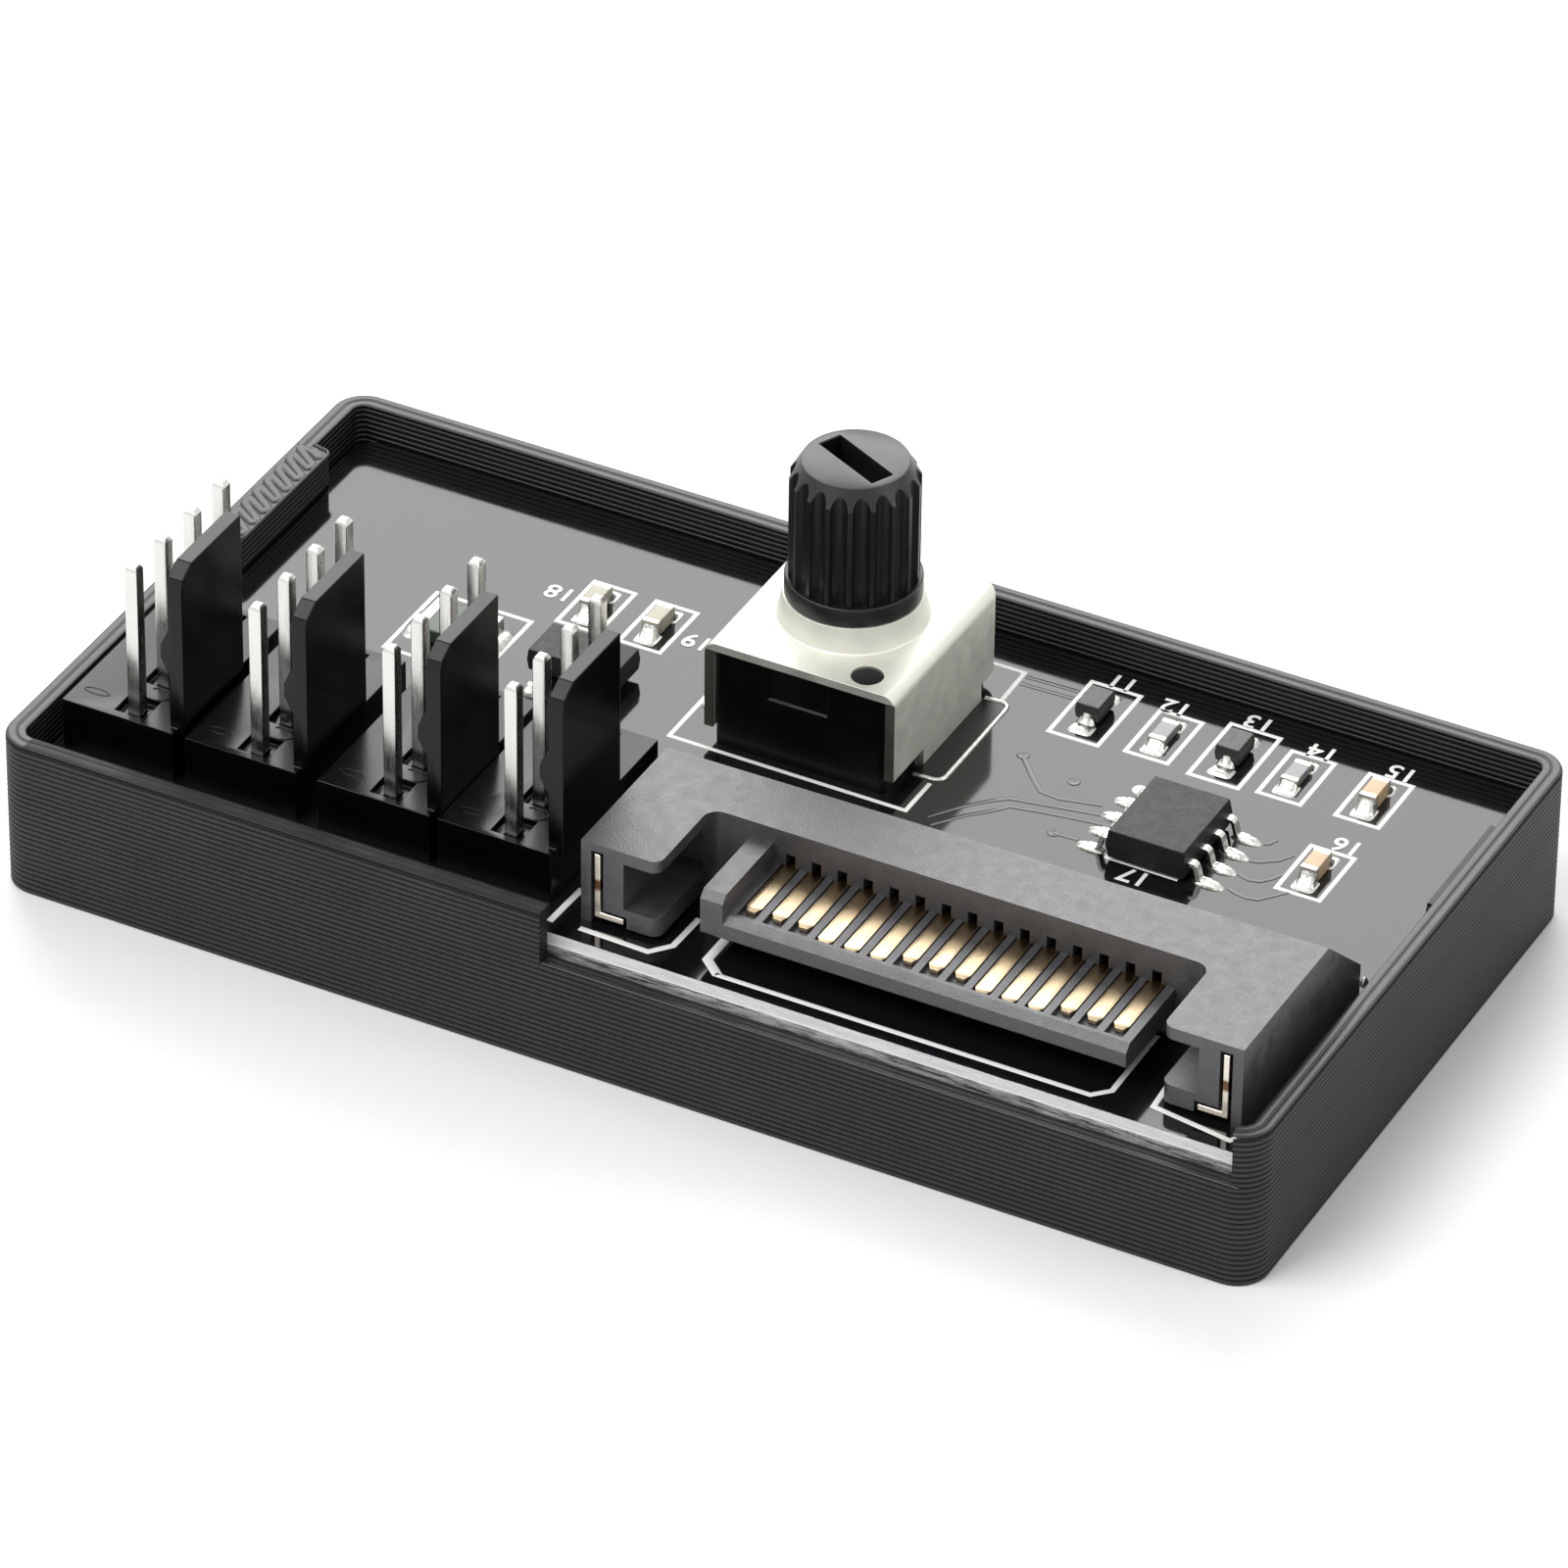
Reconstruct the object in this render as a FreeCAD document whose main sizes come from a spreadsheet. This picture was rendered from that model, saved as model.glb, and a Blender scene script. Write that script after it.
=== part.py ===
import FreeCAD, Part
import Sketcher
import os
from FreeCAD import Vector

# Four-channel fan speed hub: a printed open tray with a circuit board that carries four fan
# headers, a flat power plug, a speed dial and small surface-mounted parts.
# X runs along the tray, Y from its front to its back and Z up. The origin is on the ground at
# the middle of the tray. All lengths are in millimetres and all angles in degrees.

# Driving dimensions: each is one cell of the sheet
SIZES = {
    # Tray
    "wall": 0.85,
    "front_wall": 0.65,
    "floor": 1.2,
    "tray_height": 7.95,
    "tray_corner": 1.5,
    "tray_inner_corner": 0.5,
    "ledge_height": 3.45,
    "ledge_size": 2.5,
    "window_margin": 0.62,
    "window_sill": 5.35,
    "hook_reach": 1.0,
    "hook_length": 8.8,
    "hook_slope": 0.6,
    "hook_back": 8.6,
    "hook_gap": 0.12,
    "snap_reach": 0.45,
    "snap_top_reach": 0.25,
    "snap_length": 6.6,
    # Circuit board: its margins about the headers, the plug and the dial set its outline
    "side_margin": 0.56,
    "plug_margin": 0.88,
    "back_margin": 3.2,
    "board_thickness": 1.6,
    "board_corner": 1.2,
    "board_side_gap": 0.3,
    "board_end_gap": 0.15,
    "score_depth": 0.4,
    "score_inset": 0.25,
    "tail": 1.3,
    # Fan headers, each a gap away from the locking plate of the one before
    "header_gap_2": 0.23,
    "header_gap_3": 0.67,
    "header_gap_4": 0.01,
    "header_front": 3.4,
    "header_height": 2.54,
    "header_left": 3.24,
    "header_right": 2.46,
    "header_end": 1.13,
    "pin_pitch": 2.54,
    "pin_size": 0.64,
    "pin_height": 10.15,
    "pin_tip": 0.2,
    "pin_fit": 0.01,
    "pin_hole": 1.0,
    "recess_size": 1.5,
    "recess_depth": 0.35,
    "plate_offset": 2.07,
    "plate_thickness": 0.76,
    "plate_front": 0.7,
    "plate_depth": 5.25,
    "plate_height": 11.0,
    "plate_slope": 0.95,
    "plate_drop": 0.48,
    "plate_lean": 0.16,
    "catch_reach": 0.42,
    "catch_low": 5.3,
    "catch_high": 7.8,
    "crest_low": 6.175,
    "crest_high": 6.8,
    # Power plug, a gap away from the last header's locking plate
    "plug_gap": 1.37,
    "plug_front": 1.8,
    "plug_height": 4.25,
    "plug_depth": 8.4,
    "arm_width": 3.85,
    "mouth_depth": 4.77,
    "mouth_corner": 0.7,
    "arm_corner": 0.5,
    "arm_wall": 2.1,
    "arm_roof": 0.62,
    "arm_floor": 1.2,
    "arm_clear": 0.22,
    "cheek_reach": 3.45,
    "cheek_thickness": 1.0,
    "cheek_height": 1.1,
    "tongue_left_gap": 2.03,
    "tongue_right_gap": 1.67,
    "tongue_low": 1.22,
    "tongue_thickness": 1.23,
    "tongue_nose": 0.35,
    "key_width": 1.1,
    "key_height": 1.05,
    "contact_pitch": 1.27,
    "contact_left_margin": 1.92,
    "contact_right_margin": 0.9,
    "contact_width": 0.84,
    "contact_thickness": 0.22,
    "contact_sink": 0.05,
    "contact_fit": 0.03,
    "contact_short": 1.15,
    "contact_long": 0.55,
    "contact_hole_width": 0.46,
    "contact_hole_height": 0.62,
    "contact_hole_depth": 0.9,
    "tail_row_near": 0.9,
    "tail_row_far": 2.2,
    "tail_width": 0.5,
    "tail_hole": 0.8,
    "strip_inset": 0.65,
    "strip_thickness": 0.3,
    "strip_low": 0.35,
    "strip_roof": 0.55,
    "strip_foot": 1.45,
    "strip_end_gap": 0.47,
    "strip_fit": 0.15,
    "strip_post": 1.2,
    # Speed dial, placed by its shaft from the plug's left side, and behind the plug
    "dial_inset": 3.08,
    "dial_gap": 6.1,
    "cover_width": 9.5,
    "cover_front": 5.2,
    "cover_back": 5.6,
    "cover_height": 5.4,
    "cover_sheet": 0.45,
    "cover_bend": 0.6,
    "cover_skirt": 0.85,
    "cover_corner": 1.2,
    "lug_front": 2.2,
    "lug_back": 3.5,
    "lug_tail": 1.8,
    "lug_fit": 0.2,
    "collar_foot": 6.9,
    "collar_rim": 6.4,
    "collar_height": 1.24,
    "stud_hole": 1.5,
    "stud_hole_x": 2.85,
    "stud_hole_y": 4.13,
    "case_inset": 0.12,
    "case_edge": 0.35,
    "stud_fit": 0.03,
    "stud_sink": 0.1,
    "mark_left": 1.6,
    "mark_width": 2.95,
    "mark_height": 1.75,
    "mark_depth": 0.12,
    "rotor_diameter": 6.8,
    "rotor_thickness": 1.0,
    "neck_diameter": 4.6,
    "pivot_diameter": 2.8,
    "pivot_length": 2.4,
    "running_gap": 0.05,
    "ring_diameter": 6.1,
    "ring_height": 0.88,
    "spline_diameter": 5.96,
    "spline_length": 6.08,
    "spline_count": 18,
    "groove_diameter": 0.86,
    "groove_centre": 2.92,
    "face_diameter": 4.82,
    "face_slope": 0.86,
    "slot_length": 3.84,
    "slot_width": 1.05,
    "slot_depth": 1.3,
    "dial_turn": -25.7,
    "terminal_pitch": 2.5,
    "terminal_width": 0.8,
    "terminal_thickness": 0.3,
    "terminal_level": 0.3,
    "terminal_reach": 1.9,
    # Timer chip, placed by its middle from the board's right and back edges
    "chip_right": 12.8,
    "chip_back": 11.2,
    "chip_width": 3.9,
    "chip_length": 4.9,
    "chip_height": 1.6,
    "chip_standoff": 0.15,
    "chip_draft": 8.0,
    "lead_pitch": 1.27,
    "lead_width": 0.42,
    "lead_thickness": 0.2,
    "lead_span": 6.0,
    "lead_foot": 0.6,
    # Small two-ended parts, placed by their middles from the board's edges
    "capacitor_1_left": 19.45,
    "capacitor_1_back": 7.15,
    "capacitor_2_left": 16.22,
    "capacitor_2_back": 7.11,
    "capacitor_3_right": 6.2,
    "capacitor_3_back": 3.9,
    "capacitor_4_right": 6.14,
    "capacitor_4_back": 10.1,
    "resistor_1_right": 10.0,
    "resistor_1_back": 3.97,
    "resistor_2_right": 16.57,
    "resistor_2_back": 3.95,
    "chip_part_width": 0.85,
    "chip_part_length": 1.65,
    "chip_part_cap": 0.32,
    "cap_plating": 0.02,
    "capacitor_height": 0.8,
    "resistor_height": 0.45,
    "fuse_left": 11.75,
    "fuse_back": 12.0,
    "fuse_width": 2.6,
    "fuse_length": 3.4,
    "fuse_cap": 0.5,
    "fuse_height": 0.75,
    # Diodes
    "diode_1_right": 20.1,
    "diode_1_back": 3.8,
    "diode_2_right": 13.15,
    "diode_2_back": 3.77,
    "diode_width": 1.25,
    "diode_length": 1.7,
    "diode_height": 0.95,
    "diode_lead_width": 0.3,
    "diode_lead_reach": 0.4,
    "diode_lead_thickness": 0.12,
    # Voltage regulator
    "regulator_left": 18.35,
    "regulator_back": 12.2,
    "regulator_width": 4.5,
    "regulator_length": 2.5,
    "regulator_height": 1.5,
    "regulator_draft": 6.0,
    "regulator_lead_pitch": 1.5,
    "regulator_lead_width": 0.42,
    "regulator_lead_reach": 1.0,
    "regulator_tab_width": 1.7,
    "regulator_tab_reach": 0.5,
    "regulator_lead_thickness": 0.4,
}

HEADERS = (1, 2, 3, 4)
PINS_PER_HEADER = 4
CONTACTS = 15
CONTACTS_PER_GROUP = 3
TERMINALS = 3
LEADS_PER_SIDE = 4

doc = FreeCAD.newDocument("fan_hub")


def make_sheet():
    """Write each driving dimension into its own named cell."""
    sheet = doc.addObject("Spreadsheet::Sheet", "sizes")
    for row, (name, number) in enumerate(SIZES.items(), start=1):
        sheet.set(f"A{row}", name)
        sheet.set(f"B{row}", str(number))
        sheet.setAlias(f"B{row}", name)
    doc.recompute()
    return sheet


sheet = make_sheet()


def header_place(number):
    """A header's pins, from the board's left edge."""
    if number == 1:
        return "(sizes.side_margin + sizes.header_left)"
    gap = f"sizes.header_gap_{number}"
    return f"({header_place(number - 1)} + {HEADER_REACH} + {gap} + sizes.header_left)"


# Levels, widths and edges that several pieces share, as expressions on the sheet
HEADER_REACH = "(sizes.plate_offset + sizes.plate_thickness)"
CONTACT_ROW = f"({CONTACTS - 1} * sizes.contact_pitch)"
TONGUE_WIDTH = f"(sizes.contact_left_margin + {CONTACT_ROW} + sizes.contact_right_margin)"
MOUTH_WIDTH = f"(sizes.tongue_left_gap + {TONGUE_WIDTH} + sizes.tongue_right_gap)"
MOUTH_HALF = f"({MOUTH_WIDTH} / 2)"
PLUG_HALF = f"({MOUTH_HALF} + sizes.arm_width)"
PLUG_LEFT = f"({header_place(HEADERS[-1])} + {HEADER_REACH} + sizes.plug_gap)"
PLUG_X = f"({PLUG_LEFT} + {PLUG_HALF})"
DIAL_X = f"({PLUG_LEFT} + sizes.dial_inset)"
DIAL_Y = "(sizes.plug_front + sizes.plug_depth + sizes.dial_gap + sizes.cover_front)"
BOARD_LENGTH = f"({PLUG_LEFT} + 2 * {PLUG_HALF} + sizes.plug_margin)"
BOARD_WIDTH = f"({DIAL_Y} + sizes.cover_back + sizes.back_margin)"
BOARD_LOW = "(sizes.floor + sizes.ledge_height)"
BOARD_TOP = f"({BOARD_LOW} + sizes.board_thickness)"
TRAY_LENGTH = f"({BOARD_LENGTH} + 2 * (sizes.board_side_gap + sizes.wall))"
TRAY_WIDTH = f"({BOARD_WIDTH} + 2 * sizes.board_end_gap + sizes.front_wall + sizes.wall)"
INNER_SIDE = f"({TRAY_LENGTH} / 2 - sizes.wall)"
INNER_FRONT = f"(sizes.front_wall - {TRAY_WIDTH} / 2)"
INNER_BACK = f"({TRAY_WIDTH} / 2 - sizes.wall)"
BOARD_LEFT = f"(-{BOARD_LENGTH} / 2)"
BOARD_RIGHT = f"({BOARD_LENGTH} / 2)"
BOARD_FRONT = f"({INNER_FRONT} + sizes.board_end_gap)"
BOARD_BACK = f"({INNER_BACK} - sizes.board_end_gap)"
PIN_BOTTOM = "(sizes.board_thickness + sizes.tail)"
TONGUE_LEFT = f"({MOUTH_HALF} - sizes.tongue_left_gap)"
TONGUE_TOP = "(sizes.tongue_low + sizes.tongue_thickness)"
STRIP_HIGH = "(sizes.plug_height - sizes.strip_roof)"
STRIP_LENGTH = "(sizes.mouth_depth - sizes.strip_end_gap)"
CONTACT_TOP = f"({TONGUE_TOP} - sizes.contact_sink)"
CONTACT_LOW = f"({CONTACT_TOP} - sizes.contact_thickness)"
COVER_UNDER = "(sizes.cover_height - sizes.cover_sheet)"
CASE_HALF = "(sizes.cover_width / 2 - sizes.cover_sheet)"
CASE_BACK = "(sizes.cover_back - sizes.cover_sheet)"
CASE_CORNER = "(sizes.cover_corner - sizes.cover_sheet)"
RING_LOW = "(sizes.cover_height + sizes.collar_height + sizes.running_gap)"
SPLINE_LOW = f"({RING_LOW} + sizes.ring_height)"
SHAFT_TOP = f"({SPLINE_LOW} + sizes.spline_length)"
ROTOR_TOP = f"({COVER_UNDER} - sizes.running_gap)"
ROTOR_LOW = f"({ROTOR_TOP} - sizes.rotor_thickness)"


def value(text):
    """Work out an expression on the sheet as a number."""
    return float(sheet.evalExpression(text))


def add_body(name, x="0", y="0", z="0"):
    """Start a piece whose own origin stands at x, y, z."""
    body = doc.addObject("PartDesign::Body", name)
    body.Label = name
    for axis, text in (("x", x), ("y", y), ("z", z)):
        body.setExpression(f"Placement.Base.{axis}", text)
    return body


def on_board(name, x, y):
    """Start a piece that stands on the board at x, y from the board's left front corner."""
    return add_body(name, f"{BOARD_LEFT} + {x}", f"{BOARD_FRONT} + {y}", BOARD_TOP)


def at_edges(name, place):
    """Start a piece that stands where its own cells give, from the board's sides and back."""
    if f"{place}_left" in SIZES:
        x = f"{BOARD_LEFT} + sizes.{place}_left"
    else:
        x = f"{BOARD_RIGHT} - sizes.{place}_right"
    return add_body(name, x, f"{BOARD_BACK} - sizes.{place}_back", BOARD_TOP)


def origin_feature(body, role):
    """Find one of the body's own axes or planes."""
    return [item for item in body.Origin.OriginFeatures if item.Role == role][0]


def add_sketch(body, plane, lift="0"):
    """Attach a sketch to one of the body's planes, moved along its normal by lift."""
    sketch = body.newObject("Sketcher::SketchObject", f"{body.Name}_sketch")
    sketch.AttachmentSupport = [(origin_feature(body, plane), "")]
    sketch.MapMode = "FlatFace"
    sketch.setExpression("AttachmentOffset.Base.z", lift)
    return sketch


def bind_point(sketch, item, point, x, y):
    """Tie a point of the sketch to x and y, or to an axis where one of them is zero."""
    for kind, axis, text in (("DistanceX", -2, x), ("DistanceY", -1, y)):
        if text == "0":
            sketch.addConstraint(Sketcher.Constraint("PointOnObject", item, point, axis))
            continue
        rule = Sketcher.Constraint(kind, -1, 1, item, point, value(text))
        number = sketch.addConstraint(rule)
        sketch.setExpression(f"Constraints[{number}]", text)


def outline(sketch, points):
    """Draw a closed outline with every corner bound to the sheet."""
    places = [Vector(value(x), value(y), 0) for x, y in points]
    first = sketch.GeometryCount
    for start, end in zip(places, places[1:] + places[:1]):
        sketch.addGeometry(Part.LineSegment(start, end), False)
    count = len(points)
    for number, (x, y) in enumerate(points):
        following = first + (number + 1) % count
        sketch.addConstraint(Sketcher.Constraint("Coincident", first + number, 2, following, 1))
        bind_point(sketch, first + number, 1, x, y)


def rectangle(sketch, left, low, right, high):
    """Draw a rectangle between two bound corners."""
    outline(sketch, [(left, low), (right, low), (right, high), (left, high)])


def circle(sketch, x, y, diameter):
    """Draw a circle with a bound middle and diameter."""
    middle = Vector(value(x), value(y), 0)
    ring = Part.Circle(middle, Vector(0, 0, 1), value(diameter) / 2)
    item = sketch.addGeometry(ring, False)
    bind_point(sketch, item, 3, x, y)
    number = sketch.addConstraint(Sketcher.Constraint("Diameter", item, value(diameter)))
    sketch.setExpression(f"Constraints[{number}]", diameter)


def pad(body, sketch, length, reverse=False):
    """Add the sketch's outlines to the body as a block."""
    feature = body.newObject("PartDesign::Pad", f"{body.Name}_pad")
    feature.Profile = sketch
    feature.setExpression("Length", length)
    feature.Reversed = reverse
    doc.recompute()
    return feature


def pocket(body, sketch, length, reverse=False):
    """Cut the sketch's outlines from the body, and make sure that they cut something."""
    before = body.Tip.Shape.Volume
    feature = body.newObject("PartDesign::Pocket", f"{body.Name}_pocket")
    feature.Profile = sketch
    feature.setExpression("Length", length)
    feature.Reversed = reverse
    doc.recompute()
    if feature.Shape.Volume >= before:
        raise RuntimeError(f"{feature.Name} cuts nothing")
    return feature


def pick_edges(body, test):
    """Name the edges of the body's last feature that pass the test."""
    edges = enumerate(body.Tip.Shape.Edges, start=1)
    return [f"Edge{number}" for number, edge in edges if test(edge)]


def dress(body, kind, test, size, text):
    """Round or bevel the edges that pass the test."""
    base = body.Tip
    names = pick_edges(body, test)
    feature = body.newObject(f"PartDesign::{kind}", f"{body.Name}_{kind.lower()}")
    feature.Base = (base, names)
    feature.setExpression(size, text)
    doc.recompute()
    return feature


def pattern(body, originals, axis, length, count):
    """Repeat features in a row along one of the body's axes."""
    feature = body.newObject("PartDesign::LinearPattern", f"{body.Name}_row")
    feature.Originals = originals
    feature.Direction = (origin_feature(body, axis), [""])
    feature.setExpression("Length", length)
    feature.Occurrences = count
    body.Tip = feature
    doc.recompute()
    return feature


def mirror(body, originals, plane):
    """Repeat features on the other side of one of the body's planes."""
    feature = body.newObject("PartDesign::Mirrored", f"{body.Name}_mirror")
    feature.Originals = originals
    feature.MirrorPlane = (origin_feature(body, plane), [""])
    body.Tip = feature
    doc.recompute()
    return feature


def near(first, second):
    """Tell whether two numbers are the same length."""
    return abs(first - second) < 1e-4


def upright(edge):
    """Tell whether an edge is a straight one along Z."""
    box = edge.BoundBox
    return box.XLength < 1e-4 and box.YLength < 1e-4 and box.ZLength > 1e-4


def build_tray():
    """The printed tray: walls, board ledges, a window for the plug, a hook and a snap ridge."""
    body = add_body("tray")
    half_length = f"{TRAY_LENGTH} / 2"
    half_width = f"{TRAY_WIDTH} / 2"
    block = add_sketch(body, "XY_Plane")
    rectangle(block, f"-{half_length}", f"-{half_width}", half_length, half_width)
    pad(body, block, "sizes.tray_height")
    dress(body, "Fillet", upright, "Radius", "sizes.tray_corner")

    hollow = add_sketch(body, "XY_Plane", "sizes.tray_height")
    rectangle(hollow, f"-{INNER_SIDE}", INNER_FRONT, INNER_SIDE, INNER_BACK)
    pocket(body, hollow, "sizes.tray_height - sizes.floor")
    side = value(INNER_SIDE)
    dress(body, "Fillet", lambda edge: upright(edge) and near(abs(edge.BoundBox.XMin), side),
          "Radius", "sizes.tray_inner_corner")

    add_ledges(body)
    add_hook(body)
    add_snap_ridge(body)

    window = add_sketch(body, "XZ_Plane", f"{half_width}")
    left = f"{BOARD_LEFT} + {PLUG_LEFT} - sizes.window_margin"
    rectangle(window, left, "sizes.window_sill", INNER_SIDE, "sizes.tray_height")
    pocket(body, window, "sizes.front_wall")
    return body


def add_ledges(body):
    """Four corner ledges that carry the board."""
    ledges = add_sketch(body, "XY_Plane", "sizes.floor")
    size = "sizes.ledge_size"
    for low, high in ((f"-{INNER_SIDE}", f"-{INNER_SIDE} + {size}"),
                      (f"{INNER_SIDE} - {size}", INNER_SIDE)):
        rectangle(ledges, low, INNER_FRONT, high, f"{INNER_FRONT} + {size}")
        rectangle(ledges, low, f"{INNER_BACK} - {size}", high, INNER_BACK)
    pad(body, ledges, "sizes.ledge_height")


def add_hook(body):
    """The flat hook at the rim of the left wall, which reaches over the board."""
    start = f"({BOARD_BACK} - sizes.hook_back - sizes.hook_length / 2)"
    end = f"({start} + sizes.hook_length)"
    tip = f"(sizes.hook_reach - {INNER_SIDE})"
    hook = add_sketch(body, "XY_Plane", "sizes.tray_height")
    outline(hook, [(f"-{INNER_SIDE}", start), (tip, f"{start} + sizes.hook_slope"),
                   (tip, f"{end} - sizes.hook_slope"), (f"-{INNER_SIDE}", end)])
    thickness = f"sizes.tray_height - {BOARD_TOP} - sizes.hook_gap"
    pad(body, hook, thickness, reverse=True)


def add_snap_ridge(body):
    """The low ridge on the right wall that the board snaps under."""
    middle = f"({BOARD_BACK} - sizes.hook_back)"
    ridge = add_sketch(body, "XZ_Plane", f"-({middle} + sizes.snap_length / 2)")
    low = f"{BOARD_TOP} + sizes.hook_gap"
    outline(ridge, [(INNER_SIDE, low), (INNER_SIDE, "sizes.tray_height"),
                    (f"{INNER_SIDE} - sizes.snap_top_reach", "sizes.tray_height"),
                    (f"{INNER_SIDE} - sizes.snap_reach", low)])
    pad(body, ridge, "sizes.snap_length")


def build_board():
    """The circuit board: scored front edge, and a hole for each pin, tail and lug."""
    body = add_body("circuit_board", BOARD_LEFT, BOARD_FRONT, BOARD_LOW)
    slab = add_sketch(body, "XY_Plane")
    rectangle(slab, "0", "0", BOARD_LENGTH, BOARD_WIDTH)
    pad(body, slab, "sizes.board_thickness")
    back = value(BOARD_WIDTH)
    dress(body, "Fillet", lambda edge: upright(edge) and near(edge.BoundBox.YMin, back),
          "Radius", "sizes.board_corner")

    score = add_sketch(body, "YZ_Plane")
    top = "sizes.board_thickness"
    outline(score, [("0", f"{top} - sizes.score_depth"), ("sizes.score_inset", top), ("0", top)])
    pocket(body, score, BOARD_LENGTH, reverse=True)
    score = add_sketch(body, "YZ_Plane")
    outline(score, [("0", "0"), ("sizes.score_inset", "0"), ("0", "sizes.score_depth")])
    pocket(body, score, BOARD_LENGTH, reverse=True)

    pins = add_sketch(body, "XY_Plane", "sizes.board_thickness")
    for number in HEADERS:
        circle(pins, header_place(number), "sizes.header_front", "sizes.pin_hole")
    row = pocket(body, pins, "sizes.board_thickness")
    pattern(body, [row], "Y_Axis", f"sizes.pin_pitch * {PINS_PER_HEADER - 1}", PINS_PER_HEADER)

    holes = add_sketch(body, "XY_Plane", "sizes.board_thickness")
    drill_plug_holes(holes)
    drill_dial_holes(holes)
    pocket(body, holes, "sizes.board_thickness")
    return body


def drill_plug_holes(holes):
    """Round holes for the contact tails and slots for the two strip posts."""
    for number in range(CONTACTS):
        x = f"{PLUG_X} + {contact_place(number)}"
        circle(holes, x, f"sizes.plug_front + {tail_row(number)}", "sizes.tail_hole")
    for sign in ("-", "+"):
        middle = f"{PLUG_X} {sign} ({PLUG_HALF} - {strip_post_middle()})"
        reach = "(sizes.strip_thickness / 2 + sizes.strip_fit)"
        depth = f"sizes.plug_front + {STRIP_LENGTH} / 2"
        front = f"{depth} - sizes.strip_post / 2 - sizes.strip_fit"
        back = f"{depth} + sizes.strip_post / 2 + sizes.strip_fit"
        rectangle(holes, f"{middle} - {reach}", front, f"{middle} + {reach}", back)


def drill_dial_holes(holes):
    """Slots for the cover's two lugs and for the three terminals."""
    for sign in ("-", "+"):
        middle = f"{DIAL_X} {sign} (sizes.cover_width - sizes.cover_sheet) / 2"
        reach = "(sizes.cover_sheet / 2 + sizes.lug_fit)"
        front = f"{DIAL_Y} - sizes.lug_front - sizes.lug_fit"
        back = f"{DIAL_Y} + sizes.lug_back + sizes.lug_fit"
        rectangle(holes, f"{middle} - {reach}", front, f"{middle} + {reach}", back)
    outer = f"{DIAL_Y} + {CASE_BACK} + sizes.terminal_reach"
    front = f"{outer} - sizes.terminal_thickness - sizes.lug_fit"
    for number in range(TERMINALS):
        middle = f"{DIAL_X} + sizes.terminal_pitch * {number - (TERMINALS - 1) / 2}"
        reach = "(sizes.terminal_width / 2 + sizes.lug_fit)"
        rectangle(holes, f"{middle} - {reach}", front, f"{middle} + {reach}", f"{outer} + sizes.lug_fit")


def contact_place(number):
    """The middle of a contact, from the middle of the plug."""
    return f"({number} * sizes.contact_pitch + sizes.contact_left_margin - {TONGUE_LEFT})"


def tail_row(number):
    """The row that a contact's tail stands in, from the plug's front face."""
    row = "near" if number % 2 == 0 else "far"
    return f"(sizes.plug_depth + sizes.tail_row_{row})"


def strip_post_middle():
    """The middle of a strip's post, in from the plug's side."""
    return "(sizes.strip_inset + sizes.strip_foot - sizes.strip_thickness / 2)"


def build_header(number):
    """One fan header: base with a recess at each pin, and a locking plate with its catch."""
    body = on_board(f"fan_header_{number}", header_place(number), "sizes.header_front")
    length = f"sizes.pin_pitch * {PINS_PER_HEADER - 1}"
    base = add_sketch(body, "XY_Plane")
    rectangle(base, "-sizes.header_left", "-sizes.header_end",
              "sizes.header_right", f"{length} + sizes.header_end")
    pad(body, base, "sizes.header_height")
    add_locking_plate(body)

    recess = add_sketch(body, "XY_Plane", "sizes.header_height")
    square_hole(recess, "sizes.recess_size / 2")
    cut = pocket(body, recess, "sizes.recess_depth")
    pattern(body, [cut], "Y_Axis", length, PINS_PER_HEADER)
    bore = add_sketch(body, "XY_Plane", "sizes.header_height")
    square_hole(bore, "sizes.pin_size / 2 + sizes.pin_fit")
    cut = pocket(body, bore, "sizes.header_height")
    pattern(body, [cut], "Y_Axis", length, PINS_PER_HEADER)
    return body


def square_hole(sketch, reach):
    """Draw a square about the sketch's origin."""
    rectangle(sketch, f"-({reach})", f"-({reach})", f"({reach})", f"({reach})")


def add_locking_plate(body):
    """The upright plate beside the front three pins, sloped at its front top corner."""
    foot = "sizes.header_height - sizes.recess_depth"
    front = "-sizes.plate_front"
    back = f"{front} + sizes.plate_depth"
    shoulder = "sizes.plate_height - sizes.plate_drop"
    plate = add_sketch(body, "YZ_Plane", "sizes.plate_offset")
    outline(plate, [(front, foot), (back, foot), (back, "sizes.plate_height"),
                    (f"{front} + sizes.plate_slope", "sizes.plate_height"),
                    (f"{front} + sizes.plate_lean", shoulder),
                    (front, f"{shoulder} - sizes.plate_drop")])
    pad(body, plate, "sizes.plate_thickness")

    catch = add_sketch(body, "XZ_Plane", "sizes.plate_front")
    face = "sizes.plate_offset"
    crest = "sizes.plate_offset - sizes.catch_reach"
    outline(catch, [(face, "sizes.catch_low"), (face, "sizes.catch_high"),
                    (crest, "sizes.crest_high"), (crest, "sizes.crest_low")])
    pad(body, catch, "sizes.plate_depth", reverse=True)


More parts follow.
